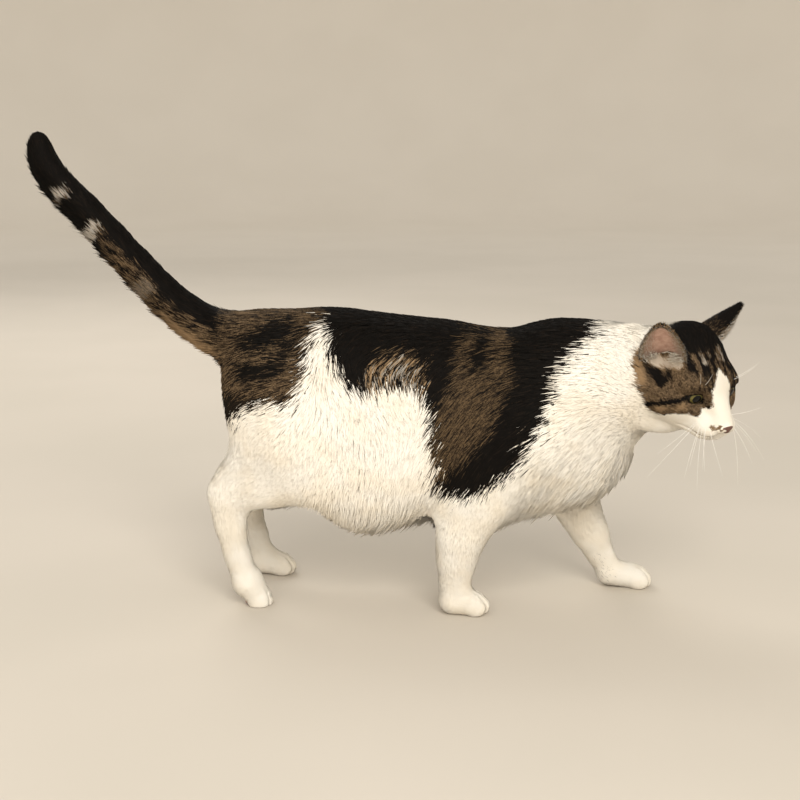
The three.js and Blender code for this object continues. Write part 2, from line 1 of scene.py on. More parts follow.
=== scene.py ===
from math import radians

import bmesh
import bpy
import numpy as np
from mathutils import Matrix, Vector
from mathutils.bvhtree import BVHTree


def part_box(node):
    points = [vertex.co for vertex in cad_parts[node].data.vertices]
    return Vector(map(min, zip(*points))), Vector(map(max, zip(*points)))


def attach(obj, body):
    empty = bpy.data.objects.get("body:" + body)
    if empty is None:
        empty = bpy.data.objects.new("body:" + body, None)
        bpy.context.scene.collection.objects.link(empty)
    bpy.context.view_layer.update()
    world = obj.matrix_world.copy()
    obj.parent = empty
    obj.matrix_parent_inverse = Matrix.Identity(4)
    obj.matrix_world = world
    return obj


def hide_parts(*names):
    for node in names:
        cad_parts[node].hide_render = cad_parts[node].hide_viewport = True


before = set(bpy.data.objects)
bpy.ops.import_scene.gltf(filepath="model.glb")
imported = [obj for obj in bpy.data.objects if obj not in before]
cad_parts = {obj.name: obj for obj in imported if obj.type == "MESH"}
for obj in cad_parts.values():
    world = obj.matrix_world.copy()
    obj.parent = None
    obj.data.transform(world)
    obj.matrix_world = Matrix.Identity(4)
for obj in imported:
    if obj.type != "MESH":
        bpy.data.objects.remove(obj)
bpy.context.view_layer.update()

# %% [markdown]
# # A walking cat, life size
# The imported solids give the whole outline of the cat, out to the tips of its coat. This script
# dresses them. One smooth skin takes the place of all the flesh. The markings are worked out
# once, as named areas on the cat, and stored on the skin. Tufts of fur then grow from the skin,
# each with one mark from root to tip, so a dark tuft lies over white fur at the edge of a patch,
# as hair does.
# Eyes, ears, nose leather, pads and whiskers are pieces of their own.
# Lengths are in millimetres until a piece is finished, because that is how a cat is measured.

MM = 0.001
scene = bpy.context.scene
FLESH = ["head", "neck", "trunk", "tail_base", "tail_middle", "tail_tip",
         "foreleg_right", "foreleg_left", "hindleg_right", "hindleg_left",
         "forepaw_right", "forepaw_left", "hindpaw_right", "hindpaw_left"]

# %% [markdown]
# ## Camera
# The camera looks slightly down at the cat's right side from a little over a metre away, and a
# long lens keeps the near and the far legs in proportion. An aim constraint could point it at
# the cat, but plain numbers are easier to read and to change.

# %% Camera
CAMERA_AT = (0.1696, -1.2337, 0.434)
CAMERA_TILT = 78.8  # degrees up from looking straight down
CAMERA_TURN = 7.0
LENS = 61.4

camera = bpy.data.objects.new("camera", bpy.data.cameras.new("camera"))
camera.data.lens = LENS
camera.data.sensor_width = 36.0
camera.data.clip_start = 0.02
camera.location = CAMERA_AT
camera.rotation_euler = (radians(CAMERA_TILT), 0, radians(CAMERA_TURN))
scene.collection.objects.link(camera)
scene.camera = camera
scene.view_settings.view_transform = "Standard"
print("camera at", CAMERA_AT)

# %% [markdown]
# ## Shader sums
# A material here is a sum written in Python. `Value` wraps one socket, and each operator adds a
# Math node, so `1 - mask` or `a * b` builds the nodes that it needs. Colours go through Mix
# nodes, because a Math node would turn them grey. Every other node comes from `Shader.node`.
# The same tree could be wired by hand in the Shader Editor, but a sum is read in one line.

# %% Shader helpers
class Value:
    """A number socket that can stand in a sum."""

    def __init__(self, shader, socket):
        self.shader = shader
        self.socket = socket

    def sum(self, operation, first, second):
        inputs = {0: first, 1: second}
        node = self.shader.node("ShaderNodeMath", {"operation": operation}, inputs)
        return Value(self.shader, node.outputs[0])

    def __add__(self, other):
        return self.sum("ADD", self, other)

    def __sub__(self, other):
        return self.sum("SUBTRACT", self, other)

    def __rsub__(self, other):
        return self.sum("SUBTRACT", other, self)

    def __mul__(self, other):
        return self.sum("MULTIPLY", self, other)

    def ramp(self, low, high):
        """0 below low, 1 above high, smooth between them."""
        settings = {"interpolation_type": "SMOOTHSTEP"}
        inputs = {"Value": self, "From Min": low, "From Max": high}
        node = self.shader.node("ShaderNodeMapRange", settings, inputs)
        return Value(self.shader, node.outputs[0])

    __radd__ = __add__
    __rmul__ = __mul__


class Shader:
    """A material and its node tree, with one Principled surface."""

    def __init__(self, name, **surface):
        self.material = bpy.data.materials.new(name)
        self.material.use_nodes = True
        self.tree = self.material.node_tree
        self.surface = self.tree.nodes["Principled BSDF"]
        for socket, number in surface.items():
            self.surface.inputs[socket.replace("_", " ")].default_value = number

    def node(self, kind, settings=None, inputs=None):
        """Any node: its settings first, then the values or links of its sockets."""
        made = self.tree.nodes.new(kind)
        for name, setting in (settings or {}).items():
            setattr(made, name, setting)
        for name, given in (inputs or {}).items():
            self.feed(made.inputs[name], given)
        return made

    def feed(self, socket, given):
        """Links a socket, or sets its own number or colour."""
        given = given.socket if isinstance(given, Value) else given
        if isinstance(given, bpy.types.NodeSocket):
            self.tree.links.new(given, socket)
        elif isinstance(given, tuple) and len(given) == 3 and socket.type == "RGBA":
            socket.default_value = (*given, 1)
        else:
            socket.default_value = given

    def mix(self, share, first, second):
        """One colour turning into another as share goes from 0 to 1."""
        made = self.node("ShaderNodeMix", {"data_type": "RGBA"})
        colours = [s for s in made.inputs if s.type == "RGBA"]
        self.feed(made.inputs[0], share)
        self.feed(colours[0], first)
        self.feed(colours[1], second)
        return [s for s in made.outputs if s.type == "RGBA"][0]

    def attribute(self, name):
        """A colour attribute of the mesh, as its three numbers."""
        made = self.node("ShaderNodeAttribute", {"attribute_name": name})
        parts = self.node("ShaderNodeSeparateColor", {}, {0: made.outputs["Color"]})
        return [Value(self, out) for out in parts.outputs]

    def place(self):
        """Where a point lies in the object's own coordinates, in metres."""
        return self.node("ShaderNodeTexCoord").outputs["Object"]

    def noise(self, size, detail=2.0, rough=0.5):
        """Noise on the object's own coordinates, its grains about size metres across."""
        inputs = {"Vector": self.place(), "Scale": 1 / size, "Detail": detail, "Roughness": rough}
        return Value(self, self.node("ShaderNodeTexNoise", {}, inputs).outputs[0])

    def bump(self, height, distance, strength):
        """Fine relief, distance metres high, without a change of the mesh."""
        inputs = {"Height": height, "Distance": distance, "Strength": strength}
        made = self.node("ShaderNodeBump", {}, inputs)
        self.feed(self.surface.inputs["Normal"], made.outputs[0])

    def set(self, **links):
        """Feeds the surface's sockets and hands over the finished material."""
        for socket, given in links.items():
            self.feed(self.surface.inputs[socket.replace("_", " ")], given)
        return self.material


print("shader helpers ready")

# %% [markdown]
# ## Floor and light
# The cat stands in a plain studio, on one sheet of pale paper that runs up the wall without a
# corner. A plane with a backdrop would do from one side only, so the sheet's side view is spun
# into a wide bowl, and no edge shows from any side. The paper is paler far away, where less
# light falls, which keeps the background even. A big soft lamp hangs high in front, two weaker
# ones stand low in front and behind, and a pale surround lightens the shadows.

# %% Floor
FLAT_FLOOR = 5.0  # metres from the cat to the foot of the sweep
CURVE = 1.6  # radius of the sweep from floor to wall
WALL_TOP = 2.9
SIDES = 72
# Painted light: the paper far from the cat is painted paler to make up for the lamp light that
# falls off there.
NEAR_PAPER = ((0.60, 0.55, 0.475), (0.63, 0.575, 0.50))
FAR_PAPER = ((0.86, 0.80, 0.71), (0.88, 0.82, 0.73))
NEAR_END, FAR_START = 1.2, 4.5  # metres from the cat where one paper turns into the other

bm = bmesh.new()
profile = [(0.02, 0.0), (1.5, 0.0), (FLAT_FLOOR, 0.0)]
for turn in np.radians(np.arange(10, 91, 10)):
    profile.append((FLAT_FLOOR + CURVE * np.sin(turn), CURVE * (1 - np.cos(turn))))
profile.append((FLAT_FLOOR + CURVE, WALL_TOP))
line = [bm.verts.new((away, 0, rise)) for away, rise in profile]
edges = [bm.edges.new(pair) for pair in zip(line, line[1:])]
bmesh.ops.spin(bm, geom=line + edges, axis=(0, 0, 1), cent=(0, 0, 0), angle=2 * np.pi,
               steps=SIDES, use_merge=True)
inner_rim = [e for e in bm.edges if e.is_boundary and e.verts[0].co.z < 1]
bmesh.ops.holes_fill(bm, edges=inner_rim, sides=0)
bmesh.ops.recalc_face_normals(bm, faces=bm.faces)
for face in bm.faces:
    face.smooth = True
    # Up on the floor and inwards on the wall.
    if face.normal.dot(Vector((0, 0, 1)) - face.calc_center_median() * 0.2) < 0:
        face.normal_flip()
floor_mesh = bpy.data.meshes.new("floor")
bm.to_mesh(floor_mesh)
bm.free()
floor = bpy.data.objects.new("floor", floor_mesh)
scene.collection.objects.link(floor)
paper = Shader("floor_paper", Roughness=0.9, Specular_IOR_Level=0.1)
fleck = paper.noise(0.4).ramp(0.3, 0.7)
length = paper.node("ShaderNodeVectorMath", {"operation": "LENGTH"}, {0: paper.place()})
away = Value(paper, length.outputs["Value"])
colour = paper.mix(away.ramp(NEAR_END, FAR_START), paper.mix(fleck, *NEAR_PAPER),
                   paper.mix(fleck, *FAR_PAPER))
floor_mesh.materials.append(paper.set(Base_Color=colour))
print("floor:", len(floor_mesh.polygons), "faces")

# %% Lamps
LIT_POINT = Vector((0.05, 0, 0.2))
SURROUND = (0.78, 0.755, 0.71, 1)
SURROUND_STRENGTH = 0.80


def lamp(name, at, size, power, colour):
    """A square soft lamp that faces the middle of the cat."""
    light = bpy.data.lights.new(name, "AREA")
    light.size = size
    light.energy = power
    light.color = colour
    held = bpy.data.objects.new(name, light)
    held.location = at
    aim = LIT_POINT - Vector(at)
    held.rotation_euler = aim.to_track_quat("-Z", "Y").to_euler()
    scene.collection.objects.link(held)


lamp("key_lamp", (0.8, -2.3, 2.0), 1.6, 60, (1.0, 0.96, 0.89))
lamp("front_fill", (-0.6, -2.4, 0.9), 1.4, 16, (1.0, 0.97, 0.92))
lamp("back_lamp", (-1.0, 1.5, 1.7), 1.4, 20, (1.0, 0.97, 0.93))
world = bpy.data.worlds.new("surround")
world.use_nodes = True
background = world.node_tree.nodes["Background"]
background.inputs["Color"].default_value = SURROUND
background.inputs["Strength"].default_value = SURROUND_STRENGTH
scene.world = world
print("lamps in place")

# %% [markdown]
# ## The skull's own frame
# The head is turned and lowered, so everything on the face is measured from the skull: the
# origin midway between the eyes, x out of the face, y to the cat's left, z to the crown. An
# empty object could hold this frame, but a matrix turns all points of a net at once. It is read
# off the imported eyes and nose, so the face always sits on its solids.

# %% Skull frame
EYE_BACK = 7.4  # each eyeball's centre behind the origin
EYE_RISE = 0.6
NOSE_AT = np.array([26.0, 0.0, -17.0])


def middle(node):
    """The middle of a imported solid's box."""
    low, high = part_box(node)
    return np.array((low + high) / 2) / MM


eye_centres = {"right": middle("eye_right"), "left": middle("eye_left")}
between = (eye_centres["right"] + eye_centres["left"]) / 2
eye_gap = eye_centres["left"] - eye_centres["right"]
side_way = eye_gap / np.linalg.norm(eye_gap)
to_nose = middle("nose") - between
to_nose -= side_way * (to_nose @ side_way)
to_nose /= np.linalg.norm(to_nose)
crosswise = np.cross(to_nose, side_way)
slope = np.arctan2(NOSE_AT[2] - EYE_RISE, NOSE_AT[0] + EYE_BACK)
face_way = np.cos(slope) * to_nose - np.sin(slope) * crosswise
crown_way = np.sin(slope) * to_nose + np.cos(slope) * crosswise
SKULL = np.column_stack([face_way, side_way, crown_way])
skull_origin = between + face_way * EYE_BACK - crown_way * EYE_RISE


def to_skull(points):
    return (points - skull_origin) @ SKULL


def from_skull(points):
    return points @ SKULL.T + skull_origin


EYE_CENTRES = {side: to_skull(centre) for side, centre in eye_centres.items()}
print("eyes in the skull frame:", {s: c.round(1).tolist() for s, c in EYE_CENTRES.items()})

# %% [markdown]
# ## Rounded forms
# A field tells how far a point lies outside a form. Two fields melt together like clay when
# their sum is smoothed where they meet. The skin's head, muzzle and toes are drawn onto such
# fields, which rounds away the flat facets of the solids and sharpens what matters. Sculpting
# by hand could do it too, but a field gives the same head each time the script runs.

# %% Fields
def melt(a, b, width):
    """Two fields as one, melted together over width."""
    near = np.maximum(width - np.abs(a - b), 0) / width
    return np.minimum(a, b) - near * near * width / 4


def egg(p, centre, radii, pitch=0.0):
    """Distance outside an ellipsoid, turned nose down by pitch degrees."""
    c, s = np.cos(radians(pitch)), np.sin(radians(pitch))
    d = p - np.array(centre, float)
    turned = np.column_stack([d[:, 0] * c - d[:, 2] * s, d[:, 1], d[:, 0] * s + d[:, 2] * c])
    radii = np.array(radii, float)
    near = np.linalg.norm(turned / radii, axis=1)
    steep = np.linalg.norm(turned / radii**2, axis=1)
    return near * (near - 1) / np.maximum(steep, 1e-9)


def limb(p, start, end, r_start, r_end, slim=1.0):
    """Distance outside a tapered limb; slim below 1 makes it narrower across the cat."""
    narrow = np.array([1, 1 / slim, 1])
    start, end = np.array(start, float) * narrow, np.array(end, float) * narrow
    way = end - start
    t = np.clip((p * narrow - start) @ way / (way @ way), 0, 1)
    off = np.linalg.norm(p * narrow - start - t[:, None] * way, axis=1)
    return off - (r_start + (r_end - r_start) * t)


def hollow(field, pressed, width):
    """The first form with the second pressed into it."""
    return -melt(-field, pressed, width)


def melt_all(fields, width):
    """Many fields as one."""
    total = fields[0]
    for field in fields[1:]:
        total = melt(total, field, width)
    return total


def smooth(low, high, values):
    """0 at low, 1 at high and eased between them; low may also be the greater."""
    t = np.clip((values - low) / (high - low), 0, 1)
    return t * t * (3 - 2 * t)


print("fields: egg, limb and hollow")


# %% Head form
def skull_field(p):
    """The head in the skull frame, out to the tips of its coat."""
    both = (1, -1)
    vault = [egg(p, (-44, 0, 9), (38, 35, 36), -8), egg(p, (-15, 0, 10), (21, 26, 19))]
    vault += [egg(p, (-30, s * 25, -14), (27, 21, 23)) for s in both]
    vault += [egg(p, (-52, 0, -17), (32, 41, 34))]
    vault += [egg(p, (-8, s * 16.5, 8), (12, 12, 8)) for s in both]
    vault += [egg(p, (-6, s * 17, -12), (13, 12, 11)) for s in both]
    muzzle = [limb(p, (-4, 0, 3), (17, 0, -11.5), 13.5, 9)]
    muzzle += [egg(p, (12, s * 8.2, -21.5), (13, 10.6, 9.6), 12) for s in both]
    muzzle += [egg(p, (24, 0, -16.5), (6, 7.4, 5.2)), egg(p, (7, 0, -30.5), (14.5, 12, 8))]
    muzzle += [limb(p, (6, s * 8, -27), (-26, s * 18, -23), 10.5, 16) for s in both]
    face = melt(melt_all(vault, 11), melt_all(muzzle, 6), 9)
    for s in both:
        face = hollow(face, egg(p, (4, s * 20.5, EYE_RISE), (5.4, 8.2, 7.2)), 5)
    # The scalp sinks away before the mouth of each ear.
    face = hollow(face, egg(p, (-31.5, -39, 21), (8, 9, 8)), 5)
    return hollow(face, egg(p, (-45, 31, 28), (8, 8, 7)), 5)


print("the crown lies", round(-skull_field(np.zeros((1, 3)))[0]), "mm around the eyes' middle")

# %% Foot forms
# Each foot stands on a heel and a row of toes, below the last length of its leg.
# Track is its place across the cat; the rest are x, z and radii in the side view.
FEET = {
    "forepaw_right": dict(track=-46.4, heel=(72.4, 12), toe=(90.4, 10), width=14, slim=0.8,
                          shin=((75.9, 52, 18), (73.9, 30, 15))),
    "forepaw_left": dict(track=48.6, heel=(216.4, 14), toe=(241.4, 9.8), width=14, slim=0.8,
                         shin=((197.4, 52, 17), (207.4, 32, 14))),
    "hindpaw_right": dict(track=-45.4, heel=(-118.6, 20), toe=(-109.6, 8.6), width=13, slim=0.9,
                          shin=((-128.6, 46, 12.4), (-120.6, 24, 12.4))),
    "hindpaw_left": dict(track=45.6, heel=(-125.6, 13), toe=(-107.6, 10), width=13, slim=0.9,
                         shin=((-132.6, 38, 12.4), (-126.6, 20, 12))),
}
TOES = (-1.5, -0.5, 0.5, 1.5)  # places across the foot, in steps of a toe
TOE_RADII = (9.5, 5.7, 8.4)
TOE_STEP = 0.42  # share of the foot's width from one toe to the next
CLEFT_DEPTH = 2.1
CLEFT_WIDTH = 0.85


def toe_centres(foot):
    """The middle of each toe; the middle two reach further forward."""
    (hx, hz), (tx, tz) = foot["heel"], foot["toe"]
    length = np.hypot(tx - hx, tz - hz)
    ahead = ((tx - hx) / length, (tz - hz) / length)
    reaches = [1.5 + 6 * (1 - abs(n) / 2) for n in TOES]
    return [(tx + ahead[0] * reach, foot["track"] + n * foot["width"] * TOE_STEP,
             tz + ahead[1] * reach - 2) for n, reach in zip(TOES, reaches)]


def foot_field(p, foot):
    """One foot with its toes, up to the foot of the shin."""
    track = foot["track"]
    (hx, hz), (tx, tz) = foot["heel"], foot["toe"]
    body = limb(p, (hx, track, hz), (tx, track, tz), 13.2, 11.8, 1.08)
    toes = melt_all([egg(p, at, TOE_RADII) for at in toe_centres(foot)], 1.6)
    (ax, az, ar), (bx, bz, br) = foot["shin"]
    shin = limb(p, (ax, track, az), (bx, track, bz), ar, br, foot["slim"])
    return melt(shin, melt(body, toes, 3.0), 9) + toe_clefts(p, foot)


def toe_clefts(p, foot):
    """How deep the three clefts between the toes are pressed in at a point."""
    (hx, hz), (tx, tz) = foot["heel"], foot["toe"]
    ahead = np.array([tx - hx, 0, tz - hz]) / np.hypot(tx - hx, tz - hz)
    along = (p - np.array([tx, 0, tz])) @ ahead
    depth = np.zeros(len(p))
    for n in (-1, 0, 1):
        # The clefts fan out a little towards the tips of the toes.
        line = foot["track"] + n * foot["width"] * (0.36 + 0.004 * along)
        depth += CLEFT_DEPTH * np.exp(-((p[:, 1] - line) / CLEFT_WIDTH) ** 2)
    return depth * smooth(-6, 3, along)


print(len(FEET), "feet with", len(TOES), "toes each")

# %% [markdown]
# ## How the coat lies
# A groomer would describe the coat with strokes of a brush: here it lies back along the spine,
# there it turns down and forward in the hollow of the flank, on the legs it runs down. Each row
# below is one such stroke, at a named place, with the length of the hair there and the depth of
# the coat. Every point of the skin then takes a blend of the strokes near it. In the editor the
# same is done with a comb brush; a table can be read, corrected and mirrored.

# %% Groom
# Place (x, y, z), lie (x, y, z), hair length, coat depth. Rows are for the right side and are
# mirrored to the left; those in LEG_GROOM name their own side.
GROOM = {
    "withers": ((120, 0, 262), (-1, 0, 0), 15, 4.5),
    "middle of the back": ((40, 0, 264), (-1, 0, 0), 16, 4.5),
    "loin": ((-40, 0, 272), (-1, 0, 0), 16, 4.5),
    "croup": ((-105, 0, 266), (-1, 0, 0), 16, 4.5),
    "upper saddle": ((10, -42, 248), (-0.75, 0, -0.65), 17, 5),
    "lower saddle": ((8, -58, 220), (0.25, 0, -0.97), 19, 5.5),
    "saddle edge": ((10, -64, 200), (0.5, 0, -0.87), 21, 6),
    "saddle corner": ((-30, -56, 222), (0.55, 0, -0.83), 20, 5.5),
    "pillar": ((-50, -50, 240), (0.1, 0, -0.99), 18, 5),
    "pillar behind": ((-63, -52, 235), (-1, 0, 0.08), 18, 5),
    "rump patch": ((-95, -58, 225), (-1, 0, -0.12), 17, 5),
    "rump patch foot": ((-95, -64, 195), (-0.92, 0, -0.38), 17, 5),
    "flank": ((-20, -68, 170), (0.1, 0, -1), 21, 6.5),
    "hind flank": ((-55, -66, 165), (-0.35, 0, -0.93), 19, 6),
    "flank fold": ((-35, -62, 120), (-0.25, 0, -0.97), 24, 8),
    "side of the belly": ((10, -60, 115), (-0.2, 0, -0.98), 26, 8),
    "belly edge": ((-5, -42, 84), (-0.45, 0, -0.89), 28, 9),
    "belly": ((-10, 0, 72), (-1, 0, -0.15), 28, 9),
    "belly behind": ((-50, 0, 82), (-1, 0, 0.1), 26, 8),
    "belly ahead": ((60, 0, 88), (-1, 0, -0.1), 24, 8),
    "groin": ((-80, -18, 110), (-0.6, 0, -0.8), 18, 6),
    "behind the elbow": ((55, -60, 135), (-0.4, 0, -0.9), 20, 6),
    "back edge of the shoulder": ((72, -64, 185), (-0.55, 0, -0.83), 18, 5.5),
    "shoulder": ((105, -62, 190), (-0.72, 0, -0.69), 17, 5),
    "upper shoulder": ((105, -42, 238), (-0.85, 0, -0.52), 16, 5),
    "point of the shoulder": ((150, -62, 185), (-0.88, 0, -0.47), 19, 6),
    "front edge of the cloak": ((168, -48, 228), (-1, 0, -0.05), 20, 6),
    "elbow": ((85, -62, 125), (-0.6, 0, -0.8), 16, 5),
    "side of the neck": ((205, -48, 212), (-0.96, 0, -0.28), 20, 6.5),
    "nape": ((208, -6, 262), (-1, 0, 0), 16, 5),
    "ruff": ((212, -48, 178), (-0.85, 0, -0.53), 23, 8),
    "throat": ((222, -22, 140), (-0.75, 0, -0.66), 24, 8),
    "chest side": ((185, -46, 140), (-0.72, 0, -0.69), 24, 8),
    "chest": ((205, 0, 130), (-0.6, 0, -0.8), 26, 9),
    "breastbone": ((160, 0, 104), (-0.9, 0, -0.42), 25, 8.5),
    "between the forelegs": ((120, -12, 100), (-0.95, 0, -0.3), 20, 7),
    "thigh": ((-72, -60, 150), (-0.5, 0, -0.87), 14, 4.5),
    "hind thigh": ((-115, -50, 165), (-0.35, 0, -0.94), 15, 5),
    "inner thigh": ((-75, -20, 140), (-0.3, 0, -0.95), 15, 5),
    "buttock": ((-142, -22, 190), (-0.25, 0, -0.97), 18, 6),
    "below the tail": ((-146, 0, 170), (-0.1, 0, -1), 18, 6),
    "root of the tail": ((-140, -10, 256), (-0.96, 0, 0.26), 17, 5),
    "tail, first bend": ((-182, -8, 270), (-0.8, 0, 0.6), 16, 5),
    "tail, lower middle": ((-225, -8, 308), (-0.69, 0, 0.72), 16, 5),
    "tail, upper middle": ((-272, -8, 360), (-0.68, 0, 0.73), 15, 5),
    "tail, below the tip": ((-305, -8, 395), (-0.5, 0, 0.87), 14, 4.8),
    "tail tip": ((-318, -4, 425), (-0.15, 0, 0.99), 12, 4.2),
}
LEG_GROOM = {
    "upper forearm, right": ((100, -60, 115), (-0.3, 0, -0.95), 11, 3.4),
    "forearm, right": ((84, -58, 88), (-0.15, 0, -0.99), 8.5, 2.6),
    "wrist, right": ((78, -52, 52), (0, 0, -1), 6, 1.6),
    "instep, right": ((84, -48, 26), (0.75, 0, -0.66), 4.2, 0.9),
    "toes, right": ((98, -46, 14), (0.95, 0, -0.3), 3.4, 0.7),
    "upper forearm, left": ((172, 60, 115), (-0.25, 0, -0.97), 11, 3.4),
    "forearm, left": ((184, 56, 84), (0.25, 0, -0.97), 8.5, 2.6),
    "wrist, left": ((200, 52, 48), (0.45, 0, -0.89), 6, 1.6),
    "instep, left": ((224, 50, 26), (0.9, 0, -0.44), 4.2, 0.9),
    "toes, left": ((250, 49, 12), (0.97, 0, -0.24), 3.4, 0.7),
    "knee, right": ((-48, -54, 130), (-0.35, 0, -0.94), 13, 4),
    "shank, right": ((-92, -58, 120), (-0.75, 0, -0.66), 10, 3.2),
    "hock, right": ((-134, -48, 108), (-0.4, 0, -0.92), 7.5, 2.2),
    "cannon, right": ((-133, -48, 72), (0.15, 0, -0.99), 6, 1.5),
    "hind instep, right": ((-118, -46, 28), (0.45, 0, -0.89), 4.2, 0.9),
    "hind toes, right": ((-104, -46, 12), (0.75, 0, -0.66), 3.4, 0.7),
    "knee, left": ((-56, 54, 128), (-0.35, 0, -0.94), 13, 4),
    "shank, left": ((-98, 56, 114), (-0.75, 0, -0.66), 10, 3.2),
    "hock, left": ((-140, 48, 92), (-0.3, 0, -0.95), 7.5, 2.2),
    "cannon, left": ((-136, 48, 58), (0.2, 0, -0.98), 6, 1.5),
    "hind instep, left": ((-118, 46, 22), (0.85, 0, -0.53), 4.2, 0.9),
    "hind toes, left": ((-100, 46, 12), (0.95, 0, -0.3), 3.4, 0.7),
}
print(len(GROOM), "strokes on each side,", len(LEG_GROOM), "on the legs")

# %% Coat at any point
STROKE_REACH = 12.0  # how far, in mm, one stroke holds its own against its neighbours
FLATNESS = 0.62  # a plush coat lies closer than its full depth
SHORTEST_HAIR = 2.2
THINNEST_COAT, THICKEST_HEAD_COAT = 0.35, 4.5
NOSE_TIP = np.array([30.0, 0.0, -15.0])  # in the skull's frame
SLICE = 20000  # points worked on at once, to spare memory


def strokes():
    """All strokes as arrays: place, lie, and hair length with coat depth."""
    rows = [(at, lie, hair, depth) for at, lie, hair, depth in GROOM.values()]
    rows += [((x, -y, z), (u, -v, w), hair, depth)
             for (x, y, z), (u, v, w), hair, depth in GROOM.values() if y]
    rows += list(LEG_GROOM.values())
    places = np.array([row[0] for row in rows], float)
    lies = np.array([row[1] for row in rows], float)
    return places, lies, np.array([row[2:] for row in rows], float)


def unit(v):
    """Each row made one long."""
    return v / np.maximum(np.linalg.norm(v, axis=1, keepdims=True), 1e-9)


def head_share(p):
    """1 on the head, 0 on the neck and beyond."""
    q = to_skull(p)
    near = np.linalg.norm(q - np.array([-28, 0, 0]), axis=1)
    return smooth(-76, -50, q[:, 0]) * smooth(92, 74, near)


def head_coat(p):
    """Hair length and coat depth on the head: least on the muzzle and round the eyes."""
    q = to_skull(p)
    from_nose = np.linalg.norm(q - NOSE_TIP, axis=1)
    from_eye = np.min([np.linalg.norm(q - c, axis=1) for c in EYE_CENTRES.values()], axis=0)
    cheek = smooth(-28, -62, q[:, 0]) * smooth(8, -14, q[:, 2])
    hair = SHORTEST_HAIR + 7.5 * smooth(14, 95, from_nose) + 5.0 * cheek
    hair = np.minimum(hair, 2.4 + 5 * smooth(11, 30, from_eye) + 20 * smooth(26, 60, from_eye))
    depth = THINNEST_COAT + 0.26 * (hair - SHORTEST_HAIR)
    return hair, np.clip(depth, THINNEST_COAT, THICKEST_HEAD_COAT)


def groom(p, normals):
    """The unit lie, hair length and coat depth at points of the body, in mm."""
    places, lies, sizes = strokes()
    lie = np.zeros_like(p)
    coat = np.zeros((len(p), 2))
    for start in range(0, len(p), SLICE):
        part = slice(start, start + SLICE)
        apart = ((p[part, None, :] - places[None]) ** 2).sum(2)
        weight = 1 / (apart + STROKE_REACH**2) ** 2
        weight /= weight.sum(1, keepdims=True)
        lie[part] = weight @ lies
        coat[part] = weight @ sizes
    head = head_share(p)[:, None]
    back_from_nose = unit(to_skull(p) - NOSE_TIP) @ SKULL.T
    lie = unit(lie) * (1 - head) + back_from_nose * head
    lie -= normals * (lie * normals).sum(1, keepdims=True)
    hair, depth = head_coat(p)
    head = head[:, 0]
    hair = coat[:, 0] * (1 - head) + hair * head
    depth = FLATNESS * coat[:, 1] * (1 - head) + depth * head
    return unit(lie), hair, depth


print(len(strokes()[0]), "strokes in all")

# %% [markdown]
# ## The skin
# Under the coat a cat is one unbroken skin. Joining the flesh solids by Boolean would keep every
# facet and every gap between them. So copies of them are put in one mesh and remeshed in voxels,
# which gives a single closed net of even squares, and smoothing then takes the facets away.

# %% Skin net
VOXEL = 2.7
GROWN = 0.4  # each solid is grown by this much, in mm, so that neighbours touch
# Long hair rounds out the corner behind each hock, the nape and the hollow under the jaw: centre,
# radii and slope of the egg that stands for it.
FILLS = [((-124, -46, 140), (12, 13, 27), -24), ((-135, -46, 128), (9.5, 12, 19), -42),
         ((-127, 46, 128), (12, 13, 27), -25), ((228, -12, 246), (26, 17, 20.5), 0),
         ((255, -29, 182), (25, 15, 13.5), 0)]


def fill_matrix(centre, radii, slope):
    """Turns a unit ball into a fill."""
    size = Matrix.Diagonal((*(Vector(radii) * MM), 1))
    turn = Matrix.Rotation(radians(-slope), 4, "Y")
    return Matrix.Translation(Vector(centre) * MM) @ turn @ size


def joined_flesh():
    """The flesh, eyes and nose as one mesh; the eyes and nose fill their sockets."""
    whole = bmesh.new()
    for fill in FILLS:
        bmesh.ops.create_uvsphere(whole, u_segments=32, v_segments=20, radius=1,
                                  matrix=fill_matrix(*fill))
    for node in FLESH + ["eye_right", "eye_left", "nose"]:
        part = bmesh.new()
        part.from_mesh(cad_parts[node].data)
        bmesh.ops.remove_doubles(part, verts=part.verts, dist=1e-6)
        part.normal_update()
        for v in part.verts:
            v.co += v.normal * GROWN * MM
        held = bpy.data.meshes.new("held")
        part.to_mesh(held)
        part.free()
        whole.from_mesh(held)
        bpy.data.meshes.remove(held)
    mesh = bpy.data.meshes.new("flesh")
    whole.to_mesh(mesh)
    whole.free()
    return mesh


skin = bpy.data.objects.new("skin", joined_flesh())
scene.collection.objects.link(skin)
remesh = skin.modifiers.new("even_net", "REMESH")
remesh.mode = "VOXEL"
remesh.voxel_size = VOXEL * MM
evaluated = skin.evaluated_get(bpy.context.evaluated_depsgraph_get())
skin_mesh = bpy.data.meshes.new_from_object(evaluated)
skin.modifiers.clear()
skin.data = skin_mesh
print("skin net:", len(skin_mesh.vertices), "points")


# %% Net helpers
def points_of(mesh):
    """The mesh's points in mm."""
    co = np.empty(len(mesh.vertices) * 3, np.float32)
    mesh.vertices.foreach_get("co", co)
    return co.reshape(-1, 3).astype(float) / MM


def place_points(mesh, points):
    """Moves the mesh's points to places in mm."""
    mesh.vertices.foreach_set("co", (points * MM).astype(np.float32).ravel())
    mesh.update()


def edges_of(mesh):
    """The two points of every edge."""
    ends = np.empty(len(mesh.edges) * 2, np.int32)
    mesh.edges.foreach_get("vertices", ends)
    return ends.reshape(-1, 2)


def triangles_of(mesh):
    """The three points of every triangle."""
    mesh.calc_loop_triangles()
    corners = np.empty(len(mesh.loop_triangles) * 3, np.int32)
    mesh.loop_triangles.foreach_get("vertices", corners)
    return corners.reshape(-1, 3)


def gather(index, values, count):
    """Sums of values that share an index."""
    return np.column_stack([np.bincount(index, column, count) for column in values.T])


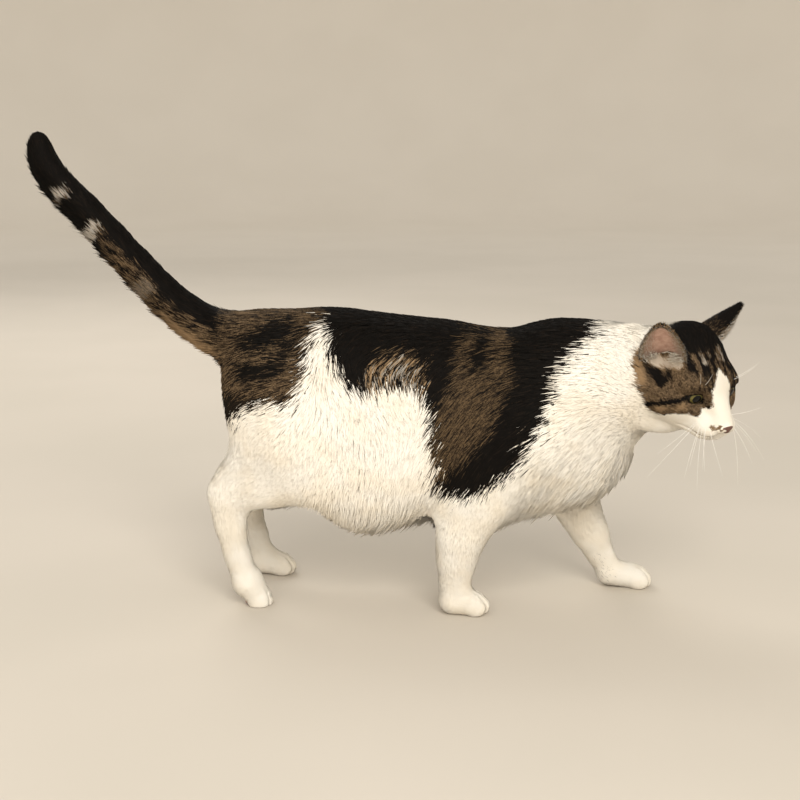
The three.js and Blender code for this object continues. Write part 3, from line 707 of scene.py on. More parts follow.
def relax(values, ends, rounds, share=0.5):
    """Draws each point's value towards the mean of its neighbours."""
    both = np.concatenate([ends, ends[:, ::-1]])
    count = np.maximum(np.bincount(both[:, 0], minlength=len(values)), 1)[:, None]
    share = np.asarray(share, float)
    share = share[:, None] if share.ndim else share
    for _ in range(rounds):
        mean = gather(both[:, 0], values[both[:, 1]], len(values)) / count
        values = values + (mean - values) * share
    return values


def normals_at(points, triangles):
    """The way the net faces at each point."""
    a, b, c = (points[triangles[:, k]] for k in range(3))
    across = np.cross(b - a, c - a)
    total = gather(triangles.ravel(), np.repeat(across, 3, axis=0), len(points))
    return unit(total)


def draw_onto(points, field, share, rounds=4, level=0.0):
    """Moves points along a field's slope until they lie on its surface, as far as share says."""
    move = share > 0.002
    p = points[move]
    step = 0.15
    for _ in range(rounds):
        here = field(p) - level
        ahead = [field(p + step * axis) - level - here for axis in np.eye(3)]
        slope = np.column_stack(ahead) / step
        steep = np.maximum((slope**2).sum(1, keepdims=True), 0.05)
        way = -here[:, None] * slope / steep
        far = np.linalg.norm(way, axis=1, keepdims=True)
        p = p + way * np.minimum(1, 3 / np.maximum(far, 1e-6))
    done = points.copy()
    done[move] += (p - points[move]) * share[move, None]
    return done


def refine(mesh, chosen):
    """Cuts each face in four where all its points are chosen."""
    bm = bmesh.new()
    bm.from_mesh(mesh)
    bm.verts.ensure_lookup_table()
    faces = [f for f in bm.faces if all(chosen[v.index] for v in f.verts)]
    edges = list({e for f in faces for e in f.edges})
    bmesh.ops.subdivide_edges(bm, edges=edges, cuts=1, use_grid_fill=True)
    many = [f for f in bm.faces if len(f.verts) > 4]
    bmesh.ops.triangulate(bm, faces=many)
    bm.to_mesh(mesh)
    bm.free()


print("net helpers ready")

# %% [markdown]
# ## Head, feet and the depth of the coat
# A face and toes need sharper forms than the smoothed net has. Subdividing the whole body would
# spend faces where nothing is gained, so the net is refined only there, in two rounds, and its
# points are drawn onto the fields. Last of all the skin sinks below the outline by the depth of
# the coat, and the tufts fill that space again.

# %% Skin form
points = points_of(skin_mesh)
ends = edges_of(skin_mesh)
points = relax(points, ends, 14)


def in_skull(field):
    """A field of the skull's frame, for points of the cat's."""
    return lambda p: field(to_skull(p))


def foot_share(p, foot):
    """1 at the foot, 0 above its ankle and off to its sides."""
    middle_x = (foot["heel"][0] + foot["toe"][0]) / 2
    near = smooth(62, 48, np.abs(p[:, 0] - middle_x))
    near *= smooth(34, 26, np.abs(p[:, 1] - foot["track"]))
    return near * smooth(42, 26, p[:, 2])


def settle_forms(points, ends):
    """Draws the head and the feet onto their fields."""
    # The throat and the ruff melt into the neck, so they stay where the solids put them.
    q = to_skull(points)
    off = np.abs(skull_field(q))
    face = smooth(-14, -2, q[:, 0]) * smooth(-36, -28, q[:, 2])
    centre, radii, _ = FILLS[-1]
    firm = np.maximum(smooth(7, 1.5, off), face) * head_share(points)
    firm *= smooth(-1, 7, egg(points, centre, radii))
    firm = relax(firm[:, None], ends, 10)[:, 0]
    points = draw_onto(points, in_skull(skull_field), firm)
    # Where the cheeks meet the neck, smoothing fills the crease.
    seam = smooth(0, 0.5, firm * (1 - firm) * 4) * smooth(-8, -24, q[:, 0])
    points = relax(points, ends, 24, 0.5 * seam)
    for foot in FEET.values():
        points = draw_onto(points, lambda p: foot_field(p, foot), foot_share(points, foot))
    return points


def skull_near(points, reach):
    """True for points of the face within reach of the eyes, nose or mouth."""
    q = to_skull(points)
    face = (q[:, 0] > -34) & (np.abs(q[:, 1]) < 46) & (np.abs(q[:, 2]) < 42)
    centres = [c + np.array([6, 0, 0]) for c in EYE_CENTRES.values()]
    centres += [np.array([20.0, 0, -20]), np.array([6.0, 9, -26]), np.array([6.0, -9, -26])]
    near = np.min([np.linalg.norm(q - c, axis=1) for c in centres], axis=0)
    return face & (near < reach)


def toes_near(points, reach):
    """True for points within reach of a toe."""
    centres = np.array([at for foot in FEET.values() for at in toe_centres(foot)])
    return np.linalg.norm(points[:, None] - centres[None], axis=2).min(1) < reach


points = settle_forms(points, ends)
for skull_reach, toe_reach in ((34, 22), (19, 12.5)):
    place_points(skin_mesh, points)
    refine(skin_mesh, skull_near(points, skull_reach) | toes_near(points, toe_reach))
    points = settle_forms(points_of(skin_mesh), edges_of(skin_mesh))
print("skin net after the face and feet are refined:", len(points), "points")

# %% Skin under the coat
triangles = triangles_of(skin_mesh)
ends = edges_of(skin_mesh)
normals = normals_at(points, triangles)
normals = unit(relax(normals, ends, 3))
outer = points.copy()
lie, hair, depth = groom(points, normals)
points = points - normals * depth[:, None]
print("coat depth from", depth.min().round(2), "to", depth.max().round(2), "mm")

# %% [markdown]
# ## Lids and mouth
# A cat's lids lie close on the eyeball and leave an almond opening with a low inner corner.
# Around each eye the skin is measured as a distance from the eyeball's centre, so it can be laid
# just outside the ball beyond the opening, and tucked behind it within. Lids as pieces of their
# own would show a seam against the cheek. The mouth is a fine crease that runs from under the
# nose and turns up into the cheek.

# %% Lids
EYE_RADIUS = 9.6
LID = 0.9  # how far a lid's skin lies outside the eyeball
TUCK = 1.6  # how far the skin behind the opening lies inside it
OPENING_HALF = 8.3  # half the opening's length
OPENING_TOP, OPENING_BOTTOM = 2.8, -4.4
CORNER_DROP = 1.2  # how far the inner corner hangs below the middle of the eye


def eye_frame(side):
    """Columns: gaze, outward along the lids, up."""
    s = -1 if side == "right" else 1
    gaze = np.array([0.95, s * 0.3, -0.05])
    gaze /= np.linalg.norm(gaze)
    outward = np.array([-0.3, s * 0.95, 0.02])
    outward -= gaze * (outward @ gaze)
    outward /= np.linalg.norm(outward)
    up = np.cross(gaze, outward) * s
    return np.column_stack([gaze, outward, up])


def opening_gap(along, up):
    """Distance outside the almond opening: negative within it."""
    t = along / OPENING_HALF
    drop = CORNER_DROP * np.clip(-t, 0, 1) ** 3
    top = OPENING_TOP * np.clip(1 - np.abs(t) ** 2.6, 0, 1) - drop
    bottom = OPENING_BOTTOM * np.clip(1 - t * t, 0, 1) ** 0.8 - drop
    over = np.maximum(up - top, bottom - up)
    past = np.abs(along) - OPENING_HALF
    return np.where(past > 0, np.hypot(np.maximum(past, 0), up + drop), over)


def lay_lids(points):
    """The skin round each eye laid on its ball, and tucked behind it in the opening."""
    q = to_skull(points)
    for side, centre in EYE_CENTRES.items():
        local = (q - centre) @ eye_frame(side)
        radius = np.linalg.norm(local, axis=1)
        near = (radius < 26) & (local[:, 0] > 0)
        gap = opening_gap(local[:, 1], local[:, 2])
        front = smooth(0, 3.5, local[:, 0])
        lid_radius = EYE_RADIUS + LID
        reach = 7 - 3.5 * smooth(-4, -8, local[:, 1])
        lid = lid_radius + (radius - lid_radius) * smooth(0, reach, gap)
        outside = np.where(radius > lid_radius, lid, lid_radius)
        outside = outside + (radius - outside) * smooth(6, 12, gap)
        wanted = np.where(gap > 0, outside, np.minimum(radius, EYE_RADIUS - TUCK))
        wanted = radius + (wanted - radius) * front
        local *= (np.where(near, wanted, radius) / np.maximum(radius, 1e-6))[:, None]
        q = np.where(near[:, None], local @ eye_frame(side).T + centre, q)
    return from_skull(q)


points = lay_lids(points)
print("lids laid on", len(EYE_CENTRES), "eyes")

# %% Mouth
MOUTH_GUIDE = [(27, 0, -22.5), (24.5, 6, -24.5), (20, 11.5, -26.5), (12, 15, -28.5),
               (3, 17.5, -28), (-5, 20, -26)]
PHILTRUM_GUIDE = [(29, 0, -20.5), (27, 0, -22.5)]
CREASE = 1.1  # depth of the mouth line in mm
CREASE_REACH = 1.3
LOWEST_SKIN = 0.5  # mm above the floor


def from_line(p, line):
    """Distance from a chain of straight stretches."""
    best = np.full(len(p), np.inf)
    for a, b in zip(line[:-1], line[1:]):
        a, b = np.array(a, float), np.array(b, float)
        way = b - a
        t = np.clip((p - a) @ way / (way @ way), 0, 1)
        best = np.minimum(best, np.linalg.norm(p - a - t[:, None] * way, axis=1))
    return best


def mouth_distance(q):
    """Distance from the mouth line, in the skull's frame."""
    folded = q * np.array([1, 0, 1]) + np.abs(q) * np.array([0, 1, 0])
    return np.minimum(from_line(folded, MOUTH), from_line(folded, PHILTRUM))


def near_surface(line_points):
    """Draws the mouth's guide points onto the skull's surface."""
    p = np.array(line_points, float)
    return [tuple(v) for v in draw_onto(p, skull_field, np.ones(len(p)), 8, -0.8)]


MOUTH = near_surface(MOUTH_GUIDE)
PHILTRUM = near_surface(PHILTRUM_GUIDE)
crease = np.exp(-(mouth_distance(to_skull(points)) / CREASE_REACH) ** 2)
points = points - normals * (CREASE * crease)[:, None]
points[:, 2] = np.maximum(points[:, 2], LOWEST_SKIN)
place_points(skin_mesh, points)
print("mouth crease reaches", int((crease > 0.3).sum()), "points")

# %% [markdown]
# ## A map for the bake
# The skin needs a flat map, named OFBake. Seams could be marked by
# hand; Smart UV Project is enough here, because it parts the skin by the way it faces and no
# pattern has to run on across a seam. Every tuft will later take a tiny patch at its root's
# place on this map.

# %% Skin map
SEAM_ANGLE = 1.15  # radians between faces of one patch of the map


def unwrap(piece):
    """A flat map of the piece's own surface, named OFBake."""
    for other in bpy.context.selected_objects:
        other.select_set(False)
    bpy.context.view_layer.objects.active = piece
    piece.select_set(True)
    bpy.ops.object.mode_set(mode="EDIT")
    bpy.ops.mesh.select_all(action="SELECT")
    bpy.ops.uv.smart_project(angle_limit=SEAM_ANGLE, island_margin=0.002)
    bpy.ops.object.mode_set(mode="OBJECT")
    piece.data.uv_layers[0].name = "OFBake"
    piece.select_set(False)


def smooth_faces(mesh):
    """Shades the mesh as one rounded surface."""
    mesh.polygons.foreach_set("use_smooth", [True] * len(mesh.polygons))
    mesh.update()


smooth_faces(skin_mesh)
unwrap(skin)
print("skin map:", len(skin_mesh.uv_layers["OFBake"].data), "corners")

# %% [markdown]
# ## Markings
# The cat is white with a dark cloak over its shoulders, a dark patch on its rump, a banded tail
# and a tabby mask. They could be painted by hand on the map, but named outlines in the side view
# and lines in the skull's frame can be moved point by point, and serve the skin and the tufts
# alike. A slow wave bends every edge a little, and the share of each mark fades over a few
# millimetres, because hairs of both colours mingle there.

# %% Outlines of the patches
CLOAK = [(-50, 290), (-50, 268), (-44, 256), (-40, 249), (-41, 235), (-32, 222), (-19, 209),
         (-10, 206), (6, 210), (34, 214), (48, 205), (53, 184), (55, 158), (58, 130), (62, 117),
         (80, 113), (102, 119), (115, 131), (132, 141), (137, 155), (145, 173), (156, 186),
         (159, 203), (165, 228), (178, 243), (191, 256), (204, 266), (210, 290)]
RUMP = [(-50, 290), (-50, 268), (-57, 257), (-61, 228), (-64, 203), (-69, 196), (-98, 193),
        (-119, 185), (-128, 177), (-150, 172), (-175, 190), (-175, 290)]
SADDLE_BUFF = [(-8, 214), (-2, 230), (10, 240), (28, 243), (46, 234), (52, 216), (46, 204),
               (34, 212), (6, 208)]
SHOULDER_TABBY = [(73, 222), (71, 212), (60, 194), (57, 175), (56, 150), (54, 132), (60, 126),
                  (67, 132), (85, 151), (95, 163), (107, 175), (114, 194), (121, 211), (122, 226),
                  (112, 232), (95, 226), (88, 222), (80, 228)]
SADDLE_STREAKS = [((87, 257), (78, 226), 5), ((112, 257), (112, 226), 8)]  # from, to, reach
WRIST_SMUDGE = [(199, 32, 30), (216, 34, 14)]
DRAWN_OUT = np.array([1, 0.4, 0.35])
RUMP_BLACKS = [[(-128, 245), (-112, 258), (-95, 266), (-72, 268), (-66, 255), (-80, 248),
                (-96, 243), (-118, 240)],
               [(-126, 228), (-100, 233), (-80, 236), (-76, 222), (-100, 214), (-124, 216)],
               [(-84, 246), (-70, 246), (-72, 232), (-82, 230)]]


def outline_share(flat, outline, soft):
    """1 inside a closed outline, 0 outside, fading over soft millimetres."""
    closed = outline + outline[:1]
    inside = np.zeros(len(flat), bool)
    for (ax, az), (bx, bz) in zip(outline, closed[1:]):
        if az != bz:
            crosses = (az > flat[:, 1]) != (bz > flat[:, 1])
            inside ^= crosses & (flat[:, 0] < ax + (flat[:, 1] - az) / (bz - az) * (bx - ax))
    edge = from_line(flat, closed)
    return smooth(soft, -soft, np.where(inside, -edge, edge))


def wave(p, size, seed):
    """A smooth wandering number from -1 to 1, its swells about size mm across."""
    rng = np.random.default_rng(seed)
    total = np.zeros(len(p))
    for _ in range(7):
        way = rng.normal(size=3)
        way /= np.linalg.norm(way) * size / (2.2 + 2.6 * rng.random())
        total += np.sin(p @ way + rng.random() * 6.3)
    return total / 3.2


print("outlines ready:", len(CLOAK), "points round the cloak")

# %% Body markings
def body_marks(p):
    """Shares of white, black and buff; what is left over is brown tabby."""
    left = p[:, 1] > 8
    bend = 2.2 * wave(p, 16, 3) + 1.2 * wave(p, 6, 4)
    shift = np.where(left, 7 * wave(p, 60, 5), 0)
    flat = np.column_stack([p[:, 0] + bend + shift, p[:, 2] + 0.8 * bend - 0.6 * shift])
    cloak = outline_share(flat, CLOAK, 2.4)
    rump = outline_share(flat, RUMP, 2.4)
    tabby = outline_share(flat, SHOULDER_TABBY, 3.5)
    for start, end, reach in SADDLE_STREAKS:
        streak = from_line(flat, [start, end])
        tabby = np.maximum(tabby, smooth(reach + 3, reach - 3, streak))
    # Mixed hairs run in streaks down the side, so their waves are drawn out across and down it.
    streaks = wave(p * DRAWN_OUT, 2.2, 6) + 0.8 * wave(p, 5, 7)
    mixed = outline_share(flat, SADDLE_BUFF, 6.0) * cloak
    tabby = np.maximum(tabby, mixed * smooth(-0.5, 0.1, streaks))
    buff = 0.8 * mixed * smooth(0.25, 0.6, streaks)
    black_rump = np.max([outline_share(flat, ring, 3.5) for ring in RUMP_BLACKS], axis=0)
    hem = smooth(205, 199, flat[:, 1]) * 0.7
    smoky = 0.75 * smooth(0.1, 0.6, wave(p * np.array([1, 1, 0.45]), 4, 16)) * rump
    stripes = 0.9 * smooth(0.35, 0.75, wave(p * np.array([1, 0.5, 0.3]), 4.5, 17)) * tabby
    black = np.max([cloak * (1 - tabby) * (1 - buff), rump * black_rump, rump * hem, smoky,
                    stripes * cloak], axis=0)
    white = (1 - cloak) * (1 - rump)
    pale = 0.44 * mixed * smooth(0.1, 0.6, wave(p * DRAWN_OUT, 2.6, 18))
    white = np.maximum(white, pale)
    smudge = smooth(9, 3, from_line(p, WRIST_SMUDGE)) * smooth(-0.2, 0.6, wave(p, 3, 19))
    white = white * (1 - 0.55 * smudge)
    return white, black * (1 - white), buff


print("body marks in", 1 + len(RUMP_BLACKS) + len(SADDLE_STREAKS), "dark and streaked areas")

# %% Tail markings
# The tail's middle line in the side view, as x and z, from its root to its tip.
TAIL_LINE = [(-115, 238), (-140, 244), (-159, 251), (-183, 265), (-205, 284), (-229, 309),
             (-253, 335), (-276, 360), (-294, 377), (-308, 392), (-316, 408), (-319, 424)]
# Place (x, z), half width and strength of each ring.
PALE_RINGS = [((-292, 376), 5, 1.0), ((-260, 347), 6, 1.0), ((-212, 295), 8, 0.72)]


def tail_marks(p):
    """Dark above, speckled below, with pale rings that leave the top edge dark."""
    line = np.array(TAIL_LINE[::-1], float)
    height = np.interp(p[:, 0], line[:, 0], line[:, 1])
    over = np.where(p[:, 0] < -300, np.maximum(p[:, 0] + 312, 0) + 4, (p[:, 2] - height) * 0.72)
    bend = 2.0 * wave(p, 9, 8)
    black = smooth(-1, 6, over + bend)
    black = np.maximum(black, smooth(-298, -304, p[:, 0] + bend))
    pale = np.zeros(len(p))
    for (x, z), reach, strength in PALE_RINGS:
        cross = (p - np.array([x, 0, z])) @ np.array([-0.68, 0, 0.73])
        band = smooth(reach + 2, reach - 3, np.abs(cross + bend)) * smooth(9, 3, over)
        pale = np.maximum(pale, band * strength)
    buff = smooth(-5, -10, over) * smooth(-215, -185, p[:, 0]) * 0.85
    between = smooth(-250, -262, p[:, 0])
    mottle = smooth(-0.15, 0.35, wave(p, 6, 9) + 0.4 * wave(p, 2.5, 10))
    black = np.maximum(black, np.maximum(between, 0.9 * mottle)) * (1 - pale) * (1 - buff)
    return pale * 0.46, np.clip(black, 0, 1), buff


print("the tail has", len(PALE_RINGS), "pale rings")

# %% Head outlines
# The mask's lower edge as height by distance from the middle, its back edge as place by height,
# and the half width of the white blaze by height, all in the skull's frame.
MASK_LOW = ((10, 12, 17, 25, 36, 42, 48, 52, 54),
            (-1, -5.5, -8, -12.5, -19, -25.6, -22, -14, -9.4))
MASK_BACK = ((-25, -22, -9, 0, 12, 20, 32, 45), (-18, -25, -34, -39, -49, -58, -66, -72))
BLAZE = ((-1, 4, 10, 14, 19, 23, 27), (9.6, 10, 10, 8.3, 6.3, 3.5, 0.3))
EYE_LINE = [(-3.1, 26.9, 0.9), (-5.1, 31.5, -3.8), (-10.9, 38.7, -8.4), (-18.5, 44.5, -13.5),
            (-25.6, 48.2, -19.7)]
CANTHUS = [(-1, 13, 1.5), (3, 11.4, -1), (9.9, 10.5, -4)]
DARK_STRIPES = [[(-20, 11, 34), (-5.5, 13, 25), (5.7, 12.7, 10.4)],
                [(-19.5, 3.4, 36), (-12, 1.3, 32)]]
PALE_STRIPES = [[(-68, 14, 34), (-50, 18, 37)], [(-46, 11, 40), (-34, 9, 40)],
                [(-20, 10.6, 34), (-9.4, 10.2, 28.9)], [(-16, 4, 33), (-9, 5, 29)]]
BEHIND_EAR = [(-38.7, 42.6, 14.9), (-26, 40.7, 7)]
EAR_BUFF = [(-64, 45, 21), (-57, 47, 18), (-43, 50.5, 7.5), (-39, 53, 0)]
UNDER_EYE = [(6, 19, -10), (1, 26, -8)]
CHEEK_BUFF = [(-2, 29, -8), (-16, 43, -18)]
# Pale down before the mouth of each ear, and its reach.
EAR_MOUTHS = [([(-42, -40.5, 20), (-35, -37.6, 18.6), (-29.5, -33.4, 19.6), (-26, -29, 23)], 8.5),
              ([(-47, 37, 25), (-42, 33, 30)], 5.0)]
SPECKS = [(22.5, -12, -18), (26.5, -8.5, -16.5)]
print(len(DARK_STRIPES), "dark and", len(PALE_STRIPES), "pale stripes on the brow")


# %% Head markings
def lid_edge(q):
    """Distance from the nearer eye's opening; far from both eyes, a large number."""
    gaps = []
    for side, centre in EYE_CENTRES.items():
        _, along, up = ((q - centre) @ eye_frame(side)).T
        gaps.append(opening_gap(along, up) + 50.0 * (np.linalg.norm(q - centre, axis=1) > 14))
    return np.min(gaps, axis=0)


def head_marks(p):
    """Shares of white, black and buff on the head; the rest is greyer tabby."""
    q = to_skull(p)
    bend = 1.6 * wave(p, 9, 11) + 0.7 * wave(p, 4, 12)
    aside = np.abs(q[:, 1])
    folded = np.column_stack([q[:, 0], aside, q[:, 2]])
    low = np.interp(aside, *MASK_LOW)
    back = np.interp(q[:, 2], *MASK_BACK)
    mask = smooth(-1.6, 1.6, q[:, 2] - low + 0.5 * bend) * smooth(-3, 3, q[:, 0] - back + bend)
    half = np.interp(q[:, 2], *BLAZE)
    blaze = smooth(1.3, -1.3, aside - half + 0.5 * bend) * smooth(-24, -18, q[:, 0])
    blaze *= smooth(28, 26, q[:, 2])
    mask = mask * (1 - blaze)
    patch = smooth(5, 3, from_line(folded, UNDER_EYE) + bend)
    mask = np.maximum(mask, patch)
    stripes = [smooth(3.6, 1.4, from_line(folded, line) + 0.5 * bend) for line in DARK_STRIPES]
    black = 0.75 * np.max(stripes, axis=0)
    crown = smooth(29, 35, q[:, 2]) * smooth(-12, -22, q[:, 0]) * smooth(30, 24, aside)
    black = np.maximum(black, crown)
    streaks = wave(q * np.array([0.25, 1.3, 0.25]), 3.4, 15)
    brow = smooth(12, 27, q[:, 2]) * smooth(-52, -40, q[:, 0]) * smooth(32, 22, aside)
    black = np.maximum(black, brow * smooth(-0.35, 0.25, streaks + 0.5 * brow))
    fine = smooth(0.15, 0.6, streaks) * smooth(2, 12, q[:, 2])
    black = np.maximum(black, 0.8 * fine)
    black = np.maximum(black, smooth(8, 4, from_line(folded, BEHIND_EAR) + bend))
    black = np.maximum(black, 0.55 * smooth(0.2, 0.9, wave(p, 3.2, 13)) * smooth(-30, -12, q[:, 0]))
    line = from_line(folded, EYE_LINE)
    black = np.maximum(black, smooth(3.2, 1.9, line + 0.3 * bend))
    canthus = smooth(2.6, 1.3, from_line(folded, CANTHUS))
    rim = np.maximum(smooth(1.9, 0.9, lid_edge(q)), canthus)
    pale = np.max([smooth(2.5, 0.8, from_line(folded, line) + 0.4 * bend) for line in PALE_STRIPES],
                  axis=0)
    under = smooth(4.5, 2.0, from_line(folded, CHEEK_BUFF) + bend)
    buff = np.maximum(0.8 * smooth(8, 3, from_line(folded, EAR_BUFF) + bend), 0.6 * under)
    white = 1 - mask
    black = np.maximum(black * mask * (1 - pale) * (1 - 0.7 * buff), rim)
    white = np.maximum(white, pale * 0.44) * (1 - rim)
    mouth = np.max([smooth(reach, reach - 3.5, from_line(q, line) + 0.7 * bend)
                    for line, reach in EAR_MOUTHS], axis=0)
    white = np.maximum(white, 0.46 * mouth)
    buff = np.maximum(buff, 0.7 * mouth)
    black = black * (1 - mouth)
    spot = smooth(5.0, 2.4, from_line(q, SPECKS) + 0.5 * bend) * smooth(-0.6, 0.1, wave(p, 2.4, 14))
    lips = smooth(1.9, 0.9, mouth_distance(q)) * smooth(-2, 12, q[:, 0])
    white = white * (1 - 0.9 * spot) * (1 - 0.75 * lips)
    buff = np.max([buff * mask, 0.8 * lips, 0.4 * spot], axis=0)
    return white, np.maximum(black, 0.2 * spot), buff


print("head marks ready")


# %% All marks together
def on_tail(p):
    """1 on the tail, 0 on the body."""
    return smooth(-138, -150, p[:, 0]) * smooth(225, 240, p[:, 2] - 0.3 * (p[:, 0] + 150))


def marks(p):
    """White, black and buff at points of the coat."""
    head = head_share(p)[:, None]
    tail = on_tail(p)[:, None]
    body, far, face = (np.column_stack(m(p)) for m in (body_marks, tail_marks, head_marks))
    # The cloak's lowest corner gives way to the white of the leg.
    low = smooth(112, 104, p[:, 2])[:, None] * (1 - head) * (body[:, 1:2] > 0.001)
    body = body * (1 - low) + np.array([1.0, 0, 0]) * low
    total = body * (1 - tail) + far * tail
    total = total * (1 - head) + face * head
    return np.clip(total, 0, 1)


def ash(p):
    """How grey the brown is: most on the head, some on the rump and the tail, none elsewhere."""
    return np.maximum(head_share(p), 0.65 * smooth(-45, -75, p[:, 0]))


def paint(mesh, name, values):
    """Stores three numbers a point as a colour attribute."""
    layer = mesh.attributes.new(name, "FLOAT_COLOR", "POINT")
    rgba = np.ones((len(values), 4), np.float32)
    rgba[:, : values.shape[1]] = values
    layer.data.foreach_set("color", rgba.ravel())


skin_marks = marks(outer)
paint(skin_mesh, "marks", skin_marks)
print("share of white on the skin:", skin_marks[:, 0].mean().round(2))

# %% [markdown]
# ## Colours of the coat
# One recipe serves the skin and every tuft, so that no tuft stands out from what lies below it.
# The stored marks choose between cream white, black, buff and brown tabby. A painted picture
# would give each tuft one flat colour; here the root of a white tuft is painted a little darker,
# as painted shade deep in the coat, tabby hairs are banded and pale near the tip, and a chance
# number makes each tuft a little lighter or darker.

# %% Coat materials
CREAM = (0.93, 0.89, 0.81)
CREAM_WARM = (0.90, 0.83, 0.71)
# Painted shade: the cream at the root of a tuft, and on the skin below the tufts, is darker for the
# shade deep in the coat.
CREAM_ROOT_SHADE = (0.89, 0.82, 0.71)
JET = (0.0045, 0.0035, 0.0026)
RUST_BLACK = (0.016, 0.010, 0.006)
TABBY_DARK = (0.030, 0.020, 0.012)
TABBY_BAND = (0.135, 0.088, 0.046)
ASH_DARK = (0.055, 0.036, 0.021)
ASH_BAND = (0.25, 0.168, 0.095)
BUFF = (0.38, 0.25, 0.135)


def coat_colour(shader, along, chance, grey):
    """The coat's colour from the marks, the place along the hair and a chance number."""
    white, black, buff = shader.attribute("marks")
    cloud = shader.noise(0.03, 3.0).ramp(0.35, 0.7)
    cream = shader.mix(cloud, CREAM, CREAM_WARM)
    # Painted shade: the cream darkens towards the root of the hair.
    cream = shader.mix((1 - along).ramp(0.35, 1.0) * 0.7, cream, CREAM_ROOT_SHADE)
    cream = shader.mix(chance * 0.22, cream, CREAM_WARM)
    jet = shader.mix(chance.ramp(0.75, 1.0) * 0.6, JET, RUST_BLACK)
    # Fine pepper: each banded hair shows its pale part at its own height.
    pepper = shader.noise(0.0016, 2.0, 0.6)
    band = (along * 0.5 + chance * 0.35 + pepper * 0.9).ramp(0.78, 1.22)
    tabby = shader.mix(band, TABBY_DARK, TABBY_BAND)
    tabby = shader.mix(grey * 0.75, tabby, shader.mix(band, ASH_DARK, ASH_BAND))
    colour = shader.mix(buff, tabby, BUFF)
    colour = shader.mix(black.ramp(0.2, 0.8), colour, jet)
    return shader.mix(white.ramp(0.25, 0.75), colour, cream)


def skin_coat():
    """The skin's material: short down in the coat's colours."""
    shader = Shader("skin_under_coat", Roughness=0.85, Specular_IOR_Level=0.15)
    down = shader.noise(0.0012, 4.0, 0.7)
    grey = shader.node("ShaderNodeAttribute", {"attribute_name": "ash"})
    colour = coat_colour(shader, down * 0.8, down, Value(shader, grey.outputs["Fac"]))
    shader.bump(down, 0.0008, 0.6)
    return shader.set(Base_Color=colour)


def tuft_coat():
    """The tufts' material; each point stores its place along the hair, chance and greyness."""
    shader = Shader("tufts", Roughness=0.75, Specular_IOR_Level=0.09)
    return shader.set(Base_Color=coat_colour(shader, *shader.attribute("strand")))


def store_number(mesh, name, values):
    """Stores one number a point."""
    layer = mesh.attributes.new(name, "FLOAT", "POINT")
    layer.data.foreach_set("value", np.asarray(values, np.float32))


store_number(skin_mesh, "ash", ash(outer))
skin_mesh.materials.clear()
skin_mesh.materials.append(skin_coat())
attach(skin, "root")
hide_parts(*FLESH)
TUFT_COAT = tuft_coat()
print("skin wears", skin_mesh.materials[0].name)

# %% [markdown]
# ## Tufts of fur
# The coat is what makes this cat plush. Blender's hair curves are finer, but only a mesh can be
# passed on with the model, so the coat is made of tufts. A tuft is a thin closed blade that
# starts in the skin, bends over a ridge and ends in a point. Four points and four faces are
# enough: root, the two ends of the ridge, and tip. The ridge and the tip are found by walking
# along the lie of the coat on the skin below, so the tufts follow every curve and overlap like
# slates.

# %% Where a tuft's ridge and tip go
RIDGE = 0.45  # the ridge's place along the hair
RIDGE_LIFT = 0.8  # its height, as a share of the coat's depth
STUB = 0.5  # share of its length that a hair keeps in a sharp hollow


def nearest_on(tree, targets):
    """The nearest surface point and its normal for each target."""
    found = [tree.find_nearest(target) for target in targets.tolist()]
    at = np.array([hit[0] for hit in found])
    facing = np.array([hit[1] for hit in found])
    return at, facing


triangles = triangles_of(skin_mesh)
ends = edges_of(skin_mesh)
normals = unit(relax(normals_at(points, triangles), ends, 2))
lie -= normals * (lie * normals).sum(1, keepdims=True)
lie = unit(relax(unit(lie), ends, 2))
tree = BVHTree.FromPolygons(points.tolist(), triangles.tolist(), all_triangles=True)
step_out = points + lie * (hair * RIDGE)[:, None] + normals * (RIDGE_LIFT / 2 * depth)[:, None]
ridge_at, ridge_normal = nearest_on(tree, step_out)
ridge_at += ridge_normal * (RIDGE_LIFT * depth)[:, None]
heading = unit(ridge_at - points)
tip_at, tip_normal = nearest_on(tree, ridge_at + heading * (hair * (1 - RIDGE))[:, None])
tip_at += tip_normal * depth[:, None]
bend = np.column_stack([ridge_at - points, tip_at - points])
# In a sharp hollow the nearest skin may be the wrong fold: there the hair is short and straight.
stub = lie * (hair * STUB)[:, None]
straight = np.column_stack([stub * RIDGE + normals * (RIDGE_LIFT * depth)[:, None],
                            stub + normals * depth[:, None]])
turned = np.minimum((tip_normal * normals).sum(1), (ridge_normal * normals).sum(1))
bend = straight + (bend - straight) * smooth(0.1, 0.55, turned)[:, None]
bend = relax(bend, ends, 2)
print("mean tuft reach:", np.linalg.norm(bend[:, 3:], axis=1).mean().round(1), "mm")

# %% Planting
COAT_TUFTS = 345000
BARE_NOSE = np.array([8, 8.8, 6.4])  # radii of the bare place round the nose leather
BARE_SOLE = 2.0  # mm above the floor
rng = np.random.default_rng(20)


def tuft_width(hair):
    """Longer hair grows in wider tufts."""
    return 0.38 + 0.036 * np.minimum(hair, 20)


def layers_wished(p, hair):
    """How densely the hair grows: less where it is short and flat over skin of its colour."""
    legs = smooth(14, 6, hair) * (1 - head_share(p))
    return (1 - 0.62 * legs) * (1 - 0.3 * head_share(p))


def scatter(points, triangles, thickly, count):
    """Roots spread evenly over a net, as thickly as each point says."""
    corners = points[triangles]
    across = np.cross(corners[:, 1] - corners[:, 0], corners[:, 2] - corners[:, 0])
    area = np.linalg.norm(across, axis=1) / 2
    weight = np.cumsum(area * thickly[triangles].mean(1))
    picks = (np.arange(count) + rng.random(count)) / count * weight[-1]
    chosen = np.minimum(np.searchsorted(weight, picks), len(triangles) - 1)
    u, v = rng.random((2, count))
    flip = u + v > 1
    u, v = np.where(flip, 1 - u, u), np.where(flip, 1 - v, v)
    print("layers of hair:", round(count / weight[-1], 1))
    return chosen, np.column_stack([1 - u - v, u, v])


